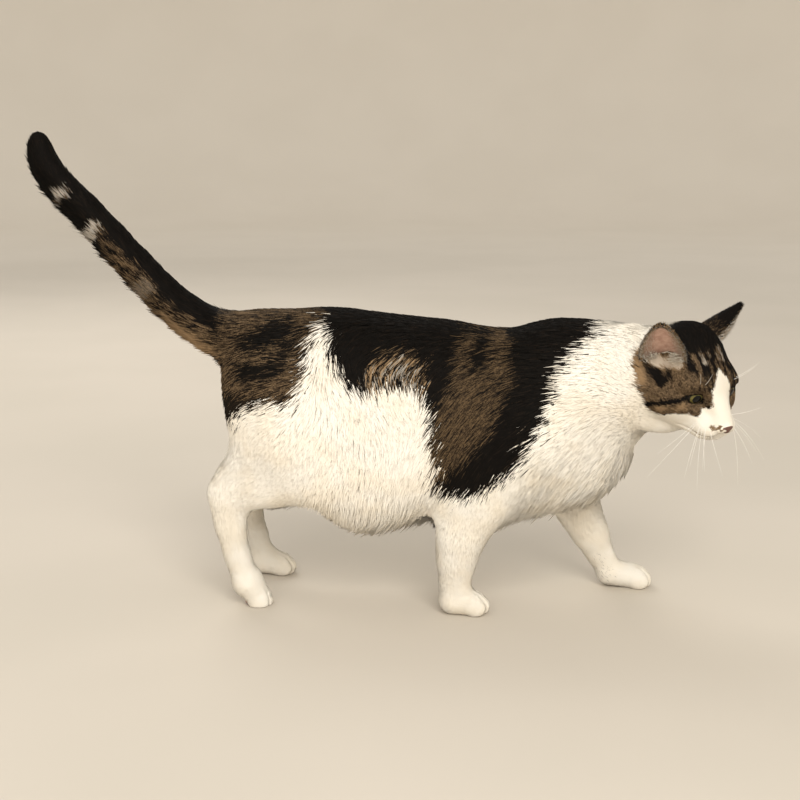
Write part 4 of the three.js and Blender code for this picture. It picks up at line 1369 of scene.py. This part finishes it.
def bare_share(p):
    """1 where no hair grows: inside the eyes' openings, on the nose leather and the soles."""
    q = to_skull(p)
    bare = np.zeros(len(p))
    for side, centre in EYE_CENTRES.items():
        local = (q - centre) @ eye_frame(side)
        hole = (opening_gap(local[:, 1], local[:, 2]) < 0.9) & (np.abs(local[:, 0]) < 16)
        bare[hole & (local[:, 0] > 0) & (np.linalg.norm(local, axis=1) < 14)] = 1
    bare[np.linalg.norm((q - NOSE_AT) / BARE_NOSE, axis=1) < 1.0] = 1
    bare[p[:, 2] < BARE_SOLE] = 1
    return bare


thickly = (1 - bare_share(points)) * layers_wished(points, hair) / (0.5 * tuft_width(hair) * hair)
which, shares = scatter(points, triangles, thickly, COAT_TUFTS)
print(len(which), "tufts planted")

# %% What each root knows
MINGLE = 4.0  # how far, in mm, hairs stray over the edge of a mark
MINGLE_HEAD = 0.5
SHOWN = 0.55  # a hair shows its outer half, so it takes the mark that lies there


def blend_corners(shares, corners):
    """Values of each triangle's corners, blended where its root lies."""
    return np.einsum("tc,tck->tk", shares, corners)


def at_roots(values):
    """Values of the skin's points, blended at the roots."""
    return blend_corners(shares, values[triangles[which]])


roots = at_roots(points)
root_normals = unit(at_roots(normals))
root_bend = at_roots(bend)
root_hair = at_roots(hair[:, None])[:, 0]
root_outer = at_roots(outer)
root_head = head_share(root_outer)
stray = MINGLE * (1 - root_head) * (1 - 0.6 * on_tail(root_outer)) + MINGLE_HEAD * root_head
stray = rng.normal(0, 1, roots.shape) * stray[:, None]
root_marks = marks(root_outer + SHOWN * root_bend[:, 3:] + stray)
root_ash = ash(root_outer)
print("share of white tufts:", (root_marks[:, 0] > 0.5).mean().round(2))

# %% [markdown]
# ## Locks
# No two tufts of a real coat are alike, and neighbouring tips cling together. Length, direction
# and lift all vary a little by chance, from one seed, so that each run gives the same coat. Then
# tips are drawn together into locks, more on the long coat of the chest and belly than on the
# legs. A modifier could do the same to curves, but these tufts are numbers still.

# %% Chance and locks
DOWN_SHARE = 0.22  # short hairs that fill in below
SWING = 0.12  # radians by which a hair strays from the lie of the coat
LOCK = 5.0  # mm across one lock of hair
HANG = 9.0  # mm that the longest hair of the belly may hang down
PLUME_STAND, HAUNCH_STAND = 4.0, 1.8  # mm that hair may stand off below the tail and behind
LOWEST_TIP, LOWEST_RIDGE = 0.4, 0.6  # mm above the floor
OFF_TAIL_TOP = np.array([0.72, 0, 0.69])  # the way that the tail's upper side faces


def turn_about(vectors, axes, angles):
    """Each vector turned about its own axis."""
    c, s = np.cos(angles)[:, None], np.sin(angles)[:, None]
    return (vectors * c + np.cross(axes, vectors) * s
            + axes * (vectors * axes).sum(1, keepdims=True) * (1 - c))


count = len(roots)
chance = rng.random(count)
down = rng.random(count) < DOWN_SHARE
stretch = np.where(down, 0.5 + 0.2 * rng.random(count), 0.8 + 0.35 * rng.random(count))
swing = rng.normal(0, SWING, count) * np.where(down, 2.2, 1)
lift = np.where(down, 0.65, 0.85 + 0.22 * rng.random(count))
below = smooth(0.1, -0.7, root_normals[:, 2]) * smooth(12, 22, root_hair)
plume = on_tail(root_outer) * smooth(0.2, -0.6, root_normals @ OFF_TAIL_TOP)
lift += 1.1 * np.maximum(below, plume) * rng.random(count) ** 2
ridge_way = turn_about(root_bend[:, :3] * stretch[:, None], root_normals, swing)
tip_way = turn_about(root_bend[:, 3:] * stretch[:, None], root_normals, swing)
for way in (ridge_way, tip_way):
    rise = (way * root_normals).sum(1, keepdims=True)
    way += root_normals * np.maximum(rise, 0) * (lift[:, None] - 1)

cells = np.floor((roots + tip_way * 0.5) / LOCK).astype(np.int64) + 500
_, lock = np.unique(cells @ np.array([1000000, 1000, 1]), return_inverse=True)  # one number each
tips = roots + tip_way
members = np.bincount(lock)[:, None]
lock_tip = gather(lock, tips, len(members)) / members
gathered = np.clip((root_hair - 6) / 40, 0, 0.35)[:, None]
tips += (lock_tip[lock] - tips) * gathered
ridges = roots + ridge_way + (lock_tip[lock] - tips) * gathered * 0.35
# The long hair of the belly, chest and haunches hangs, and that below the tail stands off.
shaggy = smooth(0.25, -0.5, root_normals[:, 2]) * smooth(13, 22, root_hair) * (1 - root_head)
droop = shaggy * rng.random(count) ** 2 * HANG
tips[:, 2] -= droop
ridges[:, 2] -= 0.3 * droop
haunch = smooth(-118, -132, root_outer[:, 0]) * (1 - on_tail(root_outer))
haunch *= smooth(9, 14, root_hair)
stand = PLUME_STAND * plume + HAUNCH_STAND * haunch
tips += root_normals * (stand * rng.random(count) ** 3)[:, None]
tips[:, 2] = np.maximum(tips[:, 2], LOWEST_TIP)
ridges[:, 2] = np.maximum(ridges[:, 2], LOWEST_RIDGE)
print(len(members), "locks of hair")

# %% [markdown]
# ## Tufts as meshes
# Operators could copy one tuft to every root, but each call updates the whole scene, and there
# are hundreds of thousands of roots. So all tufts of a region are written as one mesh from
# arrays. Each tuft carries its mark, its place along the hair and a chance number for the
# material. Its shading is that of the coat as a whole, because light on fur follows the body
# below and not each hair.

# %% Tuft meshes
TUFT_FACES = np.array([(0, 1, 2), (3, 2, 1), (0, 3, 1), (0, 2, 3)])
ALONG = [0.0, 0.5, 0.5, 1.0]  # each point's place along the hair, for the material
ROOT_DEPTH = 0.3  # mm by which a tuft starts below the skin
LEAST_RIDGE = 0.25  # mm by which the ridge stands over the line from foot to tip
ROUNDING = 0.17  # how far the shading turns to either side across a tuft
PATCH = 0.0015  # half of a tuft's patch on the bake map
PATCH_CORNERS = np.array([(-1, -1), (-0.6, 0.4), (0.6, -0.4), (1, 1)]) * PATCH


def map_corners(mesh):
    """Where the corners of each triangle lie on the bake map."""
    flat = np.empty(len(mesh.loops) * 2, np.float32)
    mesh.uv_layers["OFBake"].data.foreach_get("uv", flat)
    loops = np.empty(len(mesh.loop_triangles) * 3, np.int32)
    mesh.loop_triangles.foreach_get("loops", loops)
    return flat.reshape(-1, 2)[loops.reshape(-1, 3)].astype(float)


def tuft_mesh(name, hairs):
    """One mesh of tufts, with their marks, strand numbers, soft normals and bake patches."""
    root, ridge, tip, up = hairs["root"], hairs["ridge"], hairs["tip"], hairs["up"]
    foot = root - up * ROOT_DEPTH
    side = unit(np.cross(up, tip - foot))
    over = unit(np.cross(tip - foot, side))
    # A ridge below the line from foot to tip would turn the tuft inside out.
    rise = ((ridge - foot) * over).sum(1)
    ridge = ridge + over * np.maximum(LEAST_RIDGE - rise, 0)[:, None]
    width = (hairs["width"] / 2)[:, None]
    corners = np.stack([foot, ridge - side * width, ridge + side * width, tip], axis=1)
    number = len(root)
    faces = (TUFT_FACES[None] + 4 * np.arange(number)[:, None, None]).reshape(-1, 3)
    mesh = bpy.data.meshes.new(name)
    mesh.vertices.add(number * 4)
    mesh.loops.add(len(faces) * 3)
    mesh.polygons.add(len(faces))
    mesh.vertices.foreach_set("co", (corners * MM).astype(np.float32).ravel())
    mesh.loops.foreach_set("vertex_index", faces.astype(np.int32).ravel())
    mesh.polygons.foreach_set("loop_start", np.arange(0, len(faces) * 3, 3, dtype=np.int32))
    mesh.polygons.foreach_set("use_smooth", np.ones(len(faces), bool))
    mesh.update(calc_edges=True)
    paint(mesh, "marks", np.repeat(hairs["marks"], 4, axis=0))
    paint(mesh, "strand", np.column_stack([np.tile(ALONG, number), np.repeat(hairs["chance"], 4),
                                           np.repeat(hairs["ash"], 4)]))
    soft = np.stack([up, unit(up - ROUNDING * side), unit(up + ROUNDING * side), up], axis=1)
    layer = mesh.attributes.new("custom_normal", "FLOAT_VECTOR", "POINT")
    layer.data.foreach_set("vector", soft.astype(np.float32).ravel())
    flat = mesh.uv_layers.new(name="OFBake")
    place = np.clip(hairs["uv"][:, None] + PATCH_CORNERS[None], 0, 1).reshape(-1, 2)
    flat.data.foreach_set("uv", place[faces.ravel()].astype(np.float32).ravel())
    return mesh


body_hairs = {"root": roots, "ridge": ridges, "tip": tips, "up": root_normals,
              "width": tuft_width(root_hair), "marks": root_marks, "chance": chance,
              "ash": root_ash, "uv": blend_corners(shares, map_corners(skin_mesh)[which])}
print("a tuft has", len(TUFT_FACES), "faces")

# %% Coat pieces
REGION_NAMES = ["coat_head", "coat_side_right", "coat_side_left", "coat_chest", "coat_belly",
                "coat_tail", "coat_forelegs", "coat_hindlegs"]
MOST_TUFTS = 48000  # in one piece


def regions(p, head):
    """A region number for every root, in the order of REGION_NAMES."""
    x, y, z = p.T
    region = np.where(y < 0, 1, 2)
    region[(x > 150) & (z > 95)] = 3
    region[(z < 118) & (x > -48) & (x < 150) & (np.abs(y) < 44)] = 4
    region[(x < -140) & (z > 205 - 0.25 * (x + 140))] = 5
    region[(z < 112) & (x > 40) & ((y < -30) | (y > 34))] = 6
    region[(z < 150) & (x < -40)] = 7
    region[(z < 95) & (x > 100)] = 6
    region[head > 0.5] = 0
    return region


def grow(name, hairs):
    """Makes one coat piece of the hairs given."""
    coat = bpy.data.objects.new(name, tuft_mesh(name, hairs))
    coat.data.materials.append(TUFT_COAT)
    scene.collection.objects.link(coat)
    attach(coat, "root")
    print(name, len(hairs["root"]) * len(TUFT_FACES), "triangles")


region = regions(root_outer, root_head)
for number, name in enumerate(REGION_NAMES):
    chosen = np.flatnonzero(region == number)
    parts = -(-len(chosen) // MOST_TUFTS)
    for part in range(parts):
        # Splitting along the body keeps each piece in one place.
        order = chosen[np.argsort(root_outer[chosen, 0], kind="stable")]
        share = np.array_split(order, parts)[part]
        title = name if parts == 1 else f"{name}_{part + 1}"
        grow(title, {key: values[share] for key, values in body_hairs.items()})

# %% [markdown]
# ## Eyes
# A cat's eye is a ball with a steeper cornea in front, and it shines because it is wet. A clear
# shell over a flat iris would bend light as the real eye does, but at this size that can hardly
# be seen. So one sphere swells at the cornea and wears rings of colour about its line of sight:
# a round dark pupil, an olive iris with fine spokes, a dark edge. The wet shine comes from a
# clear coat over it.

# %% Eyeballs
CORNEA = 0.8  # mm by which the cornea stands out
CORNEA_REACH = 44  # degrees from the line of sight
PUPIL, IRIS = 3.9, 5.8  # radii in mm
RING_UNIT = 10  # mm for which the stored ring number is 1


def shaped(name, segments, rings, shape):
    """A sphere's net with every point moved where shape says; shape gets unit points."""
    bm = bmesh.new()
    bmesh.ops.create_uvsphere(bm, u_segments=segments, v_segments=rings, radius=1)
    ball_points = np.array([v.co for v in bm.verts], float)
    for v, place in zip(bm.verts, shape(ball_points) * MM):
        v.co = place
    bmesh.ops.remove_doubles(bm, verts=bm.verts, dist=1e-7)
    bmesh.ops.recalc_face_normals(bm, faces=bm.faces)
    mesh = bpy.data.meshes.new(name)
    bm.to_mesh(mesh)
    bm.free()
    smooth_faces(mesh)
    return mesh, ball_points


def show(name, mesh, material, slot, *nodes):
    """Puts a finished mesh in the scene as a piece of the cat."""
    piece = bpy.data.objects.new(name, mesh)
    scene.collection.objects.link(piece)
    mesh.materials.clear()
    mesh.materials.append(material)
    unwrap(piece)
    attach(piece, "root")
    if nodes:
        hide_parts(*nodes)
    print(name, len(mesh.polygons), "faces")


def eye_material():
    """Rings of colour about the line of sight, under a wet coat."""
    shader = Shader("eye", Roughness=0.3, Specular_IOR_Level=0.05, Coat_Weight=0.3,
                    Coat_Roughness=0.03)
    ring, _, _ = shader.attribute("iris")
    iris_edge, pupil_edge = IRIS / RING_UNIT, PUPIL / RING_UNIT
    spokes = shader.noise(0.0009, 4.0, 0.6)
    # The olive iris is its own colour, and it is painted darker as well, as painted shade from the
    # lids over it.
    iris = shader.mix(spokes.ramp(0.3, 0.7), (0.075, 0.064, 0.02), (0.19, 0.16, 0.05))
    iris = shader.mix(ring.ramp(0.42, 0.58) * 0.6, iris, (0.085, 0.08, 0.025))
    ball = shader.mix(ring.ramp(iris_edge - 0.03, iris_edge + 0.02), iris, (0.012, 0.009, 0.007))
    ball = shader.mix(ring.ramp(0.72, 0.82), ball, (0.045, 0.03, 0.022))
    pupil = ring.ramp(pupil_edge - 0.015, pupil_edge + 0.015)
    return shader.set(Base_Color=shader.mix(pupil, (0.004, 0.004, 0.004), ball))


EYE_MATERIAL = eye_material()
for side, centre in EYE_CENTRES.items():
    s = -1 if side == "right" else 1
    sight = unit(np.array([[0.97, s * 0.22, -0.05]]))[0]
    across = unit(np.cross([[0, 0, 1.0]], sight[None]))[0]
    axes = np.column_stack([across, np.cross(sight, across), sight])

    def eyeball(p):
        swell = EYE_RADIUS + CORNEA * smooth(np.cos(radians(CORNEA_REACH)), 1, p[:, 2])
        return from_skull((p * swell[:, None]) @ axes.T + centre)

    mesh, ball_points = shaped("eye_" + side, 72, 56, eyeball)
    ring = np.linalg.norm(ball_points[:, :2], axis=1) * EYE_RADIUS / RING_UNIT
    ring = np.where(ball_points[:, 2] < 0, 1.0, ring)
    paint(mesh, "iris", np.column_stack([ring, ring * 0, ring * 0]))
    show("eyeball_" + side, mesh, EYE_MATERIAL, "eye", "eye_" + side)

# %% [markdown]
# ## Nose leather
# The bare nose is a rounded triangle with two comma-shaped nostrils and a groove below. It could
# be cut from a block with Booleans, but its edges are all soft: so a sphere is narrowed towards
# the bottom, and dents are pressed into its front.

# %% Nose
NOSE_WIDTH, NOSE_HEIGHT, NOSE_DEPTH = 6.7, 5.0, 4.5  # halves, in mm


def nose_form(p):
    """The nose in the skull's frame, from points of a unit ball."""
    width = NOSE_WIDTH * (0.52 + 0.48 * smooth(-0.9, 0.35, p[:, 2]))
    y = p[:, 1] * width
    z = NOSE_AT[2] - 0.3 + p[:, 2] * NOSE_HEIGHT
    front = smooth(-0.1, 0.5, p[:, 0])
    aside = np.abs(y)
    hole = ((aside - 3.3) / 1.5) ** 2 + ((z + 18.0 - 0.3 * (aside - 3.3)) / 1.1) ** 2
    slit = ((aside - 5.2) / 1.3) ** 2 + ((z + 17.3) / 0.6) ** 2
    groove = np.exp(-(y / 0.55) ** 2) * smooth(-17.5, -19.5, z)
    dents = 2.4 * np.exp(-hole) + 1.1 * np.exp(-slit) + 0.7 * groove
    return np.column_stack([NOSE_AT[0] + NOSE_DEPTH * p[:, 0] - front * dents, y, z])


def nose_material():
    """Moist leather, with painted shade: darkest in the nostrils and dark at its rim."""
    shader = Shader("nose_leather", Roughness=0.42, Specular_IOR_Level=0.4)
    hollow_share, edge, _ = shader.attribute("shade")
    grain = shader.noise(0.0006, 3.0, 0.6)
    colour = shader.mix(grain.ramp(0.3, 0.75), (0.09, 0.044, 0.033), (0.18, 0.088, 0.066))
    # Painted shade darkens the leather at its rim and under it, and most of all in the nostrils.
    rim = (edge + (grain - 0.5) * 0.5).ramp(0.35, 0.8)
    colour = shader.mix(rim, colour, (0.045, 0.024, 0.017))
    colour = shader.mix(hollow_share.ramp(0.25, 0.8), colour, (0.012, 0.006, 0.005))
    shader.bump(grain, 0.0003, 0.5)
    return shader.set(Base_Color=colour)


nose_mesh, ball_points = shaped("nose_leather", 96, 72, lambda p: from_skull(nose_form(p)))
flat = nose_form(ball_points)
smooth_front = NOSE_AT[0] + NOSE_DEPTH * ball_points[:, 0]
# The painted shade: how far a point is pressed into the nose's dents, and where the leather turns
# away at its sides and its lower part.
pressed = np.clip((smooth_front - flat[:, 0]) / 2.2, 0, 1)
edge = smooth(0.55, 0.1, ball_points[:, 0]) + 0.6 * smooth(-17, -21, flat[:, 2])
paint(nose_mesh, "shade", np.column_stack([pressed, edge, pressed * 0]))
show("nose_tip", nose_mesh, nose_material(), "nose_leather", "nose")

# %% [markdown]
# ## Ears
# An ear is a thin cupped leaf of skin. A bent plane with Solidify would have a hard edge of even
# thickness, so a sphere is flattened instead and drawn out to the tip, with the rims curled
# forward. Inside it is bare and pinkish, with painted shade dark in the hollow at its foot, and
# outside it wears short dark fur.

# %% Ear form
EAR_WIDTH = 42.0
EAR_ROOT = 7.0  # how far the leaf reaches into the head
EAR_CUP = 12.0  # how far the rims curl forward
EAR_WALL = 1.0
# The middle of the base, the way to the tip and the way it opens, in the skull's frame; then the
# length, how full the leaf is, and how sharply it ends.
EARS = {"right": ((-37, -31, 17), (0.05, -0.4, 0.91), (0.55, -0.7, 0.3), 43.5, 2.0, 0.5),
        "left": ((-49, 22, 30), (0.03, 0.77, 0.64), (0.39, 0.66, -0.65), 39.0, 1.5, 0.95)}


def ear_axes(side):
    """The foot of an ear, and its axes in columns: opening, across, up to the tip."""
    at, tip, opens, _, _, _ = EARS[side]
    up = unit(np.array([tip], float))[0]
    out = np.array(opens, float) - up * (np.array(opens) @ up)
    out /= np.linalg.norm(out)
    return np.array(at, float), np.column_stack([out, np.cross(up, out), up])


def ear_leaf(p, length, full, point):
    """The leaf in its own frame, with rise (0 foot, 1 tip), bend (1 at the rim) and front."""
    rise = (p[:, 2] + 1) / 2
    ring = np.hypot(p[:, 0], p[:, 1])
    open_ring = ring > 1e-3
    span = EAR_WIDTH / 2 * np.clip(1 - rise**full, 0, 1) ** point * (0.82 + 0.5 * rise * (1 - rise))
    side = np.where(open_ring, p[:, 1] / np.maximum(ring, 1e-6), 0)
    front = np.where(open_ring, p[:, 0] / np.maximum(ring, 1e-6), 0)
    bend = np.abs(side)
    across = side * span
    curl = EAR_CUP * (1 - rise * 0.75) * (bend**2 - 0.62)
    fold = 1.6 * np.exp(-((rise - 0.18) / 0.1) ** 2) * smooth(0.2, 0.6, side) * smooth(1, 0.8, side)
    x = curl + front * EAR_WALL * (1 - rise / 2) + np.where(front > 0, fold, 0)
    z = -EAR_ROOT + (length + EAR_ROOT) * rise
    return np.column_stack([x, across, z]), rise, bend, front


print("ears", EARS["right"][3], "and", EARS["left"][3], "mm long")


# %% Ears
def ear_material():
    """Pinkish skin inside the ear, and dark skin under the fur of its back."""
    shader = Shader("ear_skin", Roughness=0.62, Specular_IOR_Level=0.25)
    rise, bend, inner = shader.attribute("leaf")
    veins = shader.noise(0.006, 4.0, 0.65)
    pores = shader.noise(0.0009, 2.0)
    skin = shader.mix(veins.ramp(0.3, 0.7), (0.40, 0.235, 0.18), (0.56, 0.37, 0.29))
    skin = shader.mix(bend.ramp(0.86, 1.0) * 0.8, skin, (0.17, 0.10, 0.06))
    # Painted shade: the foot of the inside, away from the rims, is darkened for the shade of the
    # hollow there.
    deep = (1 - rise).ramp(0.62, 0.85) * (1 - bend).ramp(0.15, 0.6)
    skin = shader.mix(deep, skin, (0.10, 0.045, 0.032))
    back = shader.mix(veins.ramp(0.35, 0.7), (0.018, 0.013, 0.010), (0.07, 0.045, 0.028))
    shader.bump(pores, 0.0004, 0.5)
    return shader.set(Base_Color=shader.mix(inner.ramp(0.45, 0.55), back, skin))


EAR_SKIN = ear_material()
ear_data = {}
for side in EARS:
    at, axes = ear_axes(side)
    form = EARS[side][3:]
    mesh, ball_points = shaped("ear_" + side + "_leaf", 88, 72,
                               lambda p: from_skull(ear_leaf(p, *form)[0] @ axes.T + at))
    _, rise, bend, front = ear_leaf(ball_points, *form)
    leaf = np.column_stack([rise, bend, smooth(-0.1, 0.1, front)])
    paint(mesh, "leaf", leaf)
    show("ear_" + side + "_leaf", mesh, EAR_SKIN, "ear_skin", "ear_" + side)
    ear_data[side] = (mesh, leaf, axes, np.sign(ball_points[:, 1]))

# %% [markdown]
# ## Fur of the ears
# The back of an ear wears short fur, its rims a fringe, its inside fine down, and a fan of long
# pale hairs guards the hollow at its foot. They could be modelled as cards with a picture of
# hair, but there is no picture here, so they grow as tufts do, each set in its own direction.
# Blender may list a sphere's faces in another order in the next run, and roots are dealt out in
# that order, so these few hairs fall in slightly different places from run to run.

# %% Ear hair
HAIR_RISE = 0.75  # share of its whole lift that a hair has reached at its ridge


def hair_set(root, up, way, lift, length, width, kinds, greyness, uv):
    """Short or long hairs that leave their roots along way and rise by lift times their length."""
    way = unit(way)
    ridge = root + way * (RIDGE * length)[:, None] + up * (HAIR_RISE * lift * length)[:, None]
    tip = root + way * length[:, None] + up * (lift * length)[:, None]
    return {"root": root, "ridge": ridge, "tip": tip, "up": up, "width": width, "marks": kinds,
            "chance": rng.random(len(root)), "ash": greyness, "uv": uv}


def ear_hairs(side):
    """All hairs of one ear, in four sets: back, rim, fan and inside."""
    mesh, leaf, axes, edge = ear_data[side]
    net, faces = points_of(mesh), triangles_of(mesh)
    facing = normals_at(net, faces)
    rise, bend, inner = leaf.T
    corner_uv = map_corners(mesh)
    outward, aside, to_tip = (SKULL @ axes).T
    rows = np.column_stack([rise, bend, inner, edge, facing])
    sets = []
    plan = [("back", (inner < 0.5) * smooth(0.08, 0.16, rise), 6500),
            ("rim", smooth(0.8, 0.97, bend) * smooth(0.1, 0.2, rise), 2600),
            ("fan", (inner > 0.5) * smooth(0.4, 0.26, rise) * smooth(0.12, 0.2, rise)
             * smooth(0.25, 0.6, bend), 170),
            ("inside", (inner > 0.5) * smooth(0.1, 0.25, rise) * smooth(0.35, 0.9, bend), 900)]
    for kind, thick, count in plan:
        which, shares = scatter(net, faces, thick.astype(float) + 1e-9, count)
        root = blend_corners(shares, net[faces[which]])
        row = blend_corners(shares, rows[faces[which]])
        uv = blend_corners(shares, corner_uv[which])
        up = unit(row[:, 4:])
        jitter = rng.normal(0, 0.16, (count, 3))
        rim_way = aside * np.sign(row[:, 3])[:, None]
        luck = rng.random(count)
        kinds = np.zeros((count, 3))  # white, black and buff, as in the marks
        if kind == "back":
            way = to_tip + 0.25 * rim_way
            length, width, lift = 3.4 * (0.7 + 0.6 * luck), 0.42, 0.12
            dark = 0.75 if side == "left" else 0.25
            kinds[:, 1] = luck < dark + 0.5 * row[:, 0]
            kinds[:, 2] = (luck > 0.55) & (side == "right")
        elif kind == "rim":
            way = 0.8 * to_tip + 0.75 * rim_way + 0.2 * outward
            length, width, lift = 2.2 + 3.4 * luck * smooth(0.95, 0.4, row[:, 0]), 0.26, 0.05
            kinds[:, 2] = luck < 0.5
            kinds[:, 0] = 0.5 * (luck > 0.75)
        elif kind == "fan":
            way = 0.9 * to_tip - 0.15 * rim_way + 0.75 * outward
            length, width, lift = (5 + 9 * luck) * (0.55 if side == "left" else 1), 0.2, 0.3
            kinds[:, 0] = 0.48 + 0.3 * luck
            kinds[:, 2] = 0.6
        else:
            way = to_tip - 0.2 * rim_way + 0.35 * outward
            length, width, lift = 2.5 + 2.5 * luck, 0.2, 0.1
            kinds[:, 0] = 0.5 * (luck > 0.3)
            kinds[:, 2] = 1
        way = way + jitter
        way = way - up * np.minimum((way * up).sum(1, keepdims=True), 0)
        sets.append(hair_set(root, up, way, np.full(count, lift), np.broadcast_to(length, count),
                             np.full(count, width), kinds, np.full(count, 0.6), uv))
    return {key: np.concatenate([one[key] for one in sets]) for key in sets[0]}


for side in EARS:
    grow("ear_fur_" + side, ear_hairs(side))

# %% [markdown]
# ## Whiskers and brow hairs
# Whiskers are stiff tapering hairs that leave the pads of the muzzle and droop under their own
# weight. A stretched cone would be too straight, so each is a curve by its root, its bend and
# its tip, given a round section that thins towards the tip, and then made into a mesh.

# %% Whiskers
# Root, bend and tip in the skull's frame for the right side; the left ones are given apart.
WHISKERS = [
    ((12, -16, -19), (23, -31, -29), (37, -43, -54)),
    ((14, -15.5, -19), (27, -28, -30), (47, -34, -62)),
    ((16, -14.5, -18), (28, -24, -24), (42, -30, -44)),
    ((18, -12.5, -18), (33, -19, -24), (54, -17, -45)),
    ((9, -17, -20), (18, -41, -30), (19, -68, -61)),
    ((8, -17.5, -19), (16, -38, -24), (15, -60, -40)),
    ((12, -16, -23), (22, -26, -33), (30, -33, -50)),
    ((16, -14.5, -22), (27, -22, -31), (40, -24, -49)),
    ((14, 15.5, -19), (27, 19, -33), (44, 18, -70)),
    ((16, 14.5, -18), (30, 26, -24), (46, 37, -45)),
    ((12, 16, -16), (20, 26, -11), (22, 40, -6)),
    ((12, 16, -21), (22, 30, -30), (32, 44, -50)),
    ((9, 17, -20), (16, 36, -26), (20, 56, -44)),
    ((17, 13.5, -21), (30, 19, -28), (46, 24, -46)),
    ((1, -15, 13), (10, -21, 24), (15, -25, 37)),
    ((-1, -18, 13), (6, -26, 23), (9, -33, 34)),
    ((1, 15, 13), (10, 21, 24), (15, 25, 37)),
    ((-1, 18, 13), (6, 26, 23), (9, 33, 34)),
]
WHISKER_ROOT = 0.19  # radius in mm where it leaves the skin


def whisker_mesh():
    """All whiskers as one mesh."""
    curve = bpy.data.curves.new("whiskers", "CURVE")
    curve.dimensions = "3D"
    curve.bevel_depth = WHISKER_ROOT * MM
    curve.bevel_resolution = 1
    curve.resolution_u = 8
    curve.use_fill_caps = True
    for root, middle_point, tip in WHISKERS:
        line = from_skull(np.array([root, middle_point, tip], float)) * MM
        spline = curve.splines.new("NURBS")
        spline.points.add(2)
        for point, place, thick in zip(spline.points, line, (1.0, 0.8, 0.18)):
            point.co = (*place, 1)
            point.radius = thick
        spline.order_u = 3
        spline.use_endpoint_u = True
    held = bpy.data.objects.new("held_curve", curve)
    scene.collection.objects.link(held)
    bpy.context.view_layer.update()
    evaluated = held.evaluated_get(bpy.context.evaluated_depsgraph_get())
    mesh = bpy.data.meshes.new_from_object(evaluated)
    bpy.data.objects.remove(held)
    smooth_faces(mesh)
    return mesh


def whisker_material():
    """Stiff, nearly white hair."""
    shader = Shader("whisker", Roughness=0.35, Specular_IOR_Level=0.4)
    grain = shader.noise(0.004, 2.0)
    colour = shader.mix(grain.ramp(0.3, 0.7), (0.84, 0.80, 0.72), (0.94, 0.92, 0.88))
    return shader.set(Base_Color=colour)


show("whiskers", whisker_mesh(), whisker_material(), "coat")

# %% [markdown]
# ## Paw pads
# Under each foot are four toe pads and one larger pad behind them, all of bare leather. They
# are hardly seen in this stance, so flattened balls, pressed against the floor, are enough.

# %% Pads
def pad_mesh(name, foot):
    """Five flattened balls under one foot, which rest on the floor."""
    bm = bmesh.new()
    (hx, _), (tx, _) = foot["heel"], foot["toe"]
    back = -1 if hx < tx else 1
    balls = [((x - 1.5, y, 2.0), (4.4, 2.5, 1.9)) for x, y, _ in toe_centres(foot)]
    balls += [((tx + back * 6.5, foot["track"], 2.4), (5.6, 6.0, 2.3))]
    for at, radii in balls:
        made = bmesh.ops.create_uvsphere(bm, u_segments=20, v_segments=14, radius=1)["verts"]
        bmesh.ops.scale(bm, vec=Vector(radii) * MM, verts=made)
        bmesh.ops.translate(bm, vec=Vector(at) * MM, verts=made)
    for v in bm.verts:
        v.co.z = max(v.co.z, 0.0)
    mesh = bpy.data.meshes.new(name)
    bm.to_mesh(mesh)
    bm.free()
    smooth_faces(mesh)
    return mesh


def pad_material():
    """Pebbled, bare leather."""
    shader = Shader("paw_pad", Roughness=0.6, Specular_IOR_Level=0.3)
    pebbles = shader.noise(0.0012, 3.0, 0.6)
    colour = shader.mix(pebbles.ramp(0.3, 0.7), (0.30, 0.13, 0.105), (0.45, 0.24, 0.195))
    shader.bump(pebbles, 0.0004, 0.6)
    return shader.set(Base_Color=colour)


PAD = pad_material()
for foot_name, foot in FEET.items():
    show("pads_" + foot_name, pad_mesh("pads_" + foot_name, foot), PAD, "nose_leather")
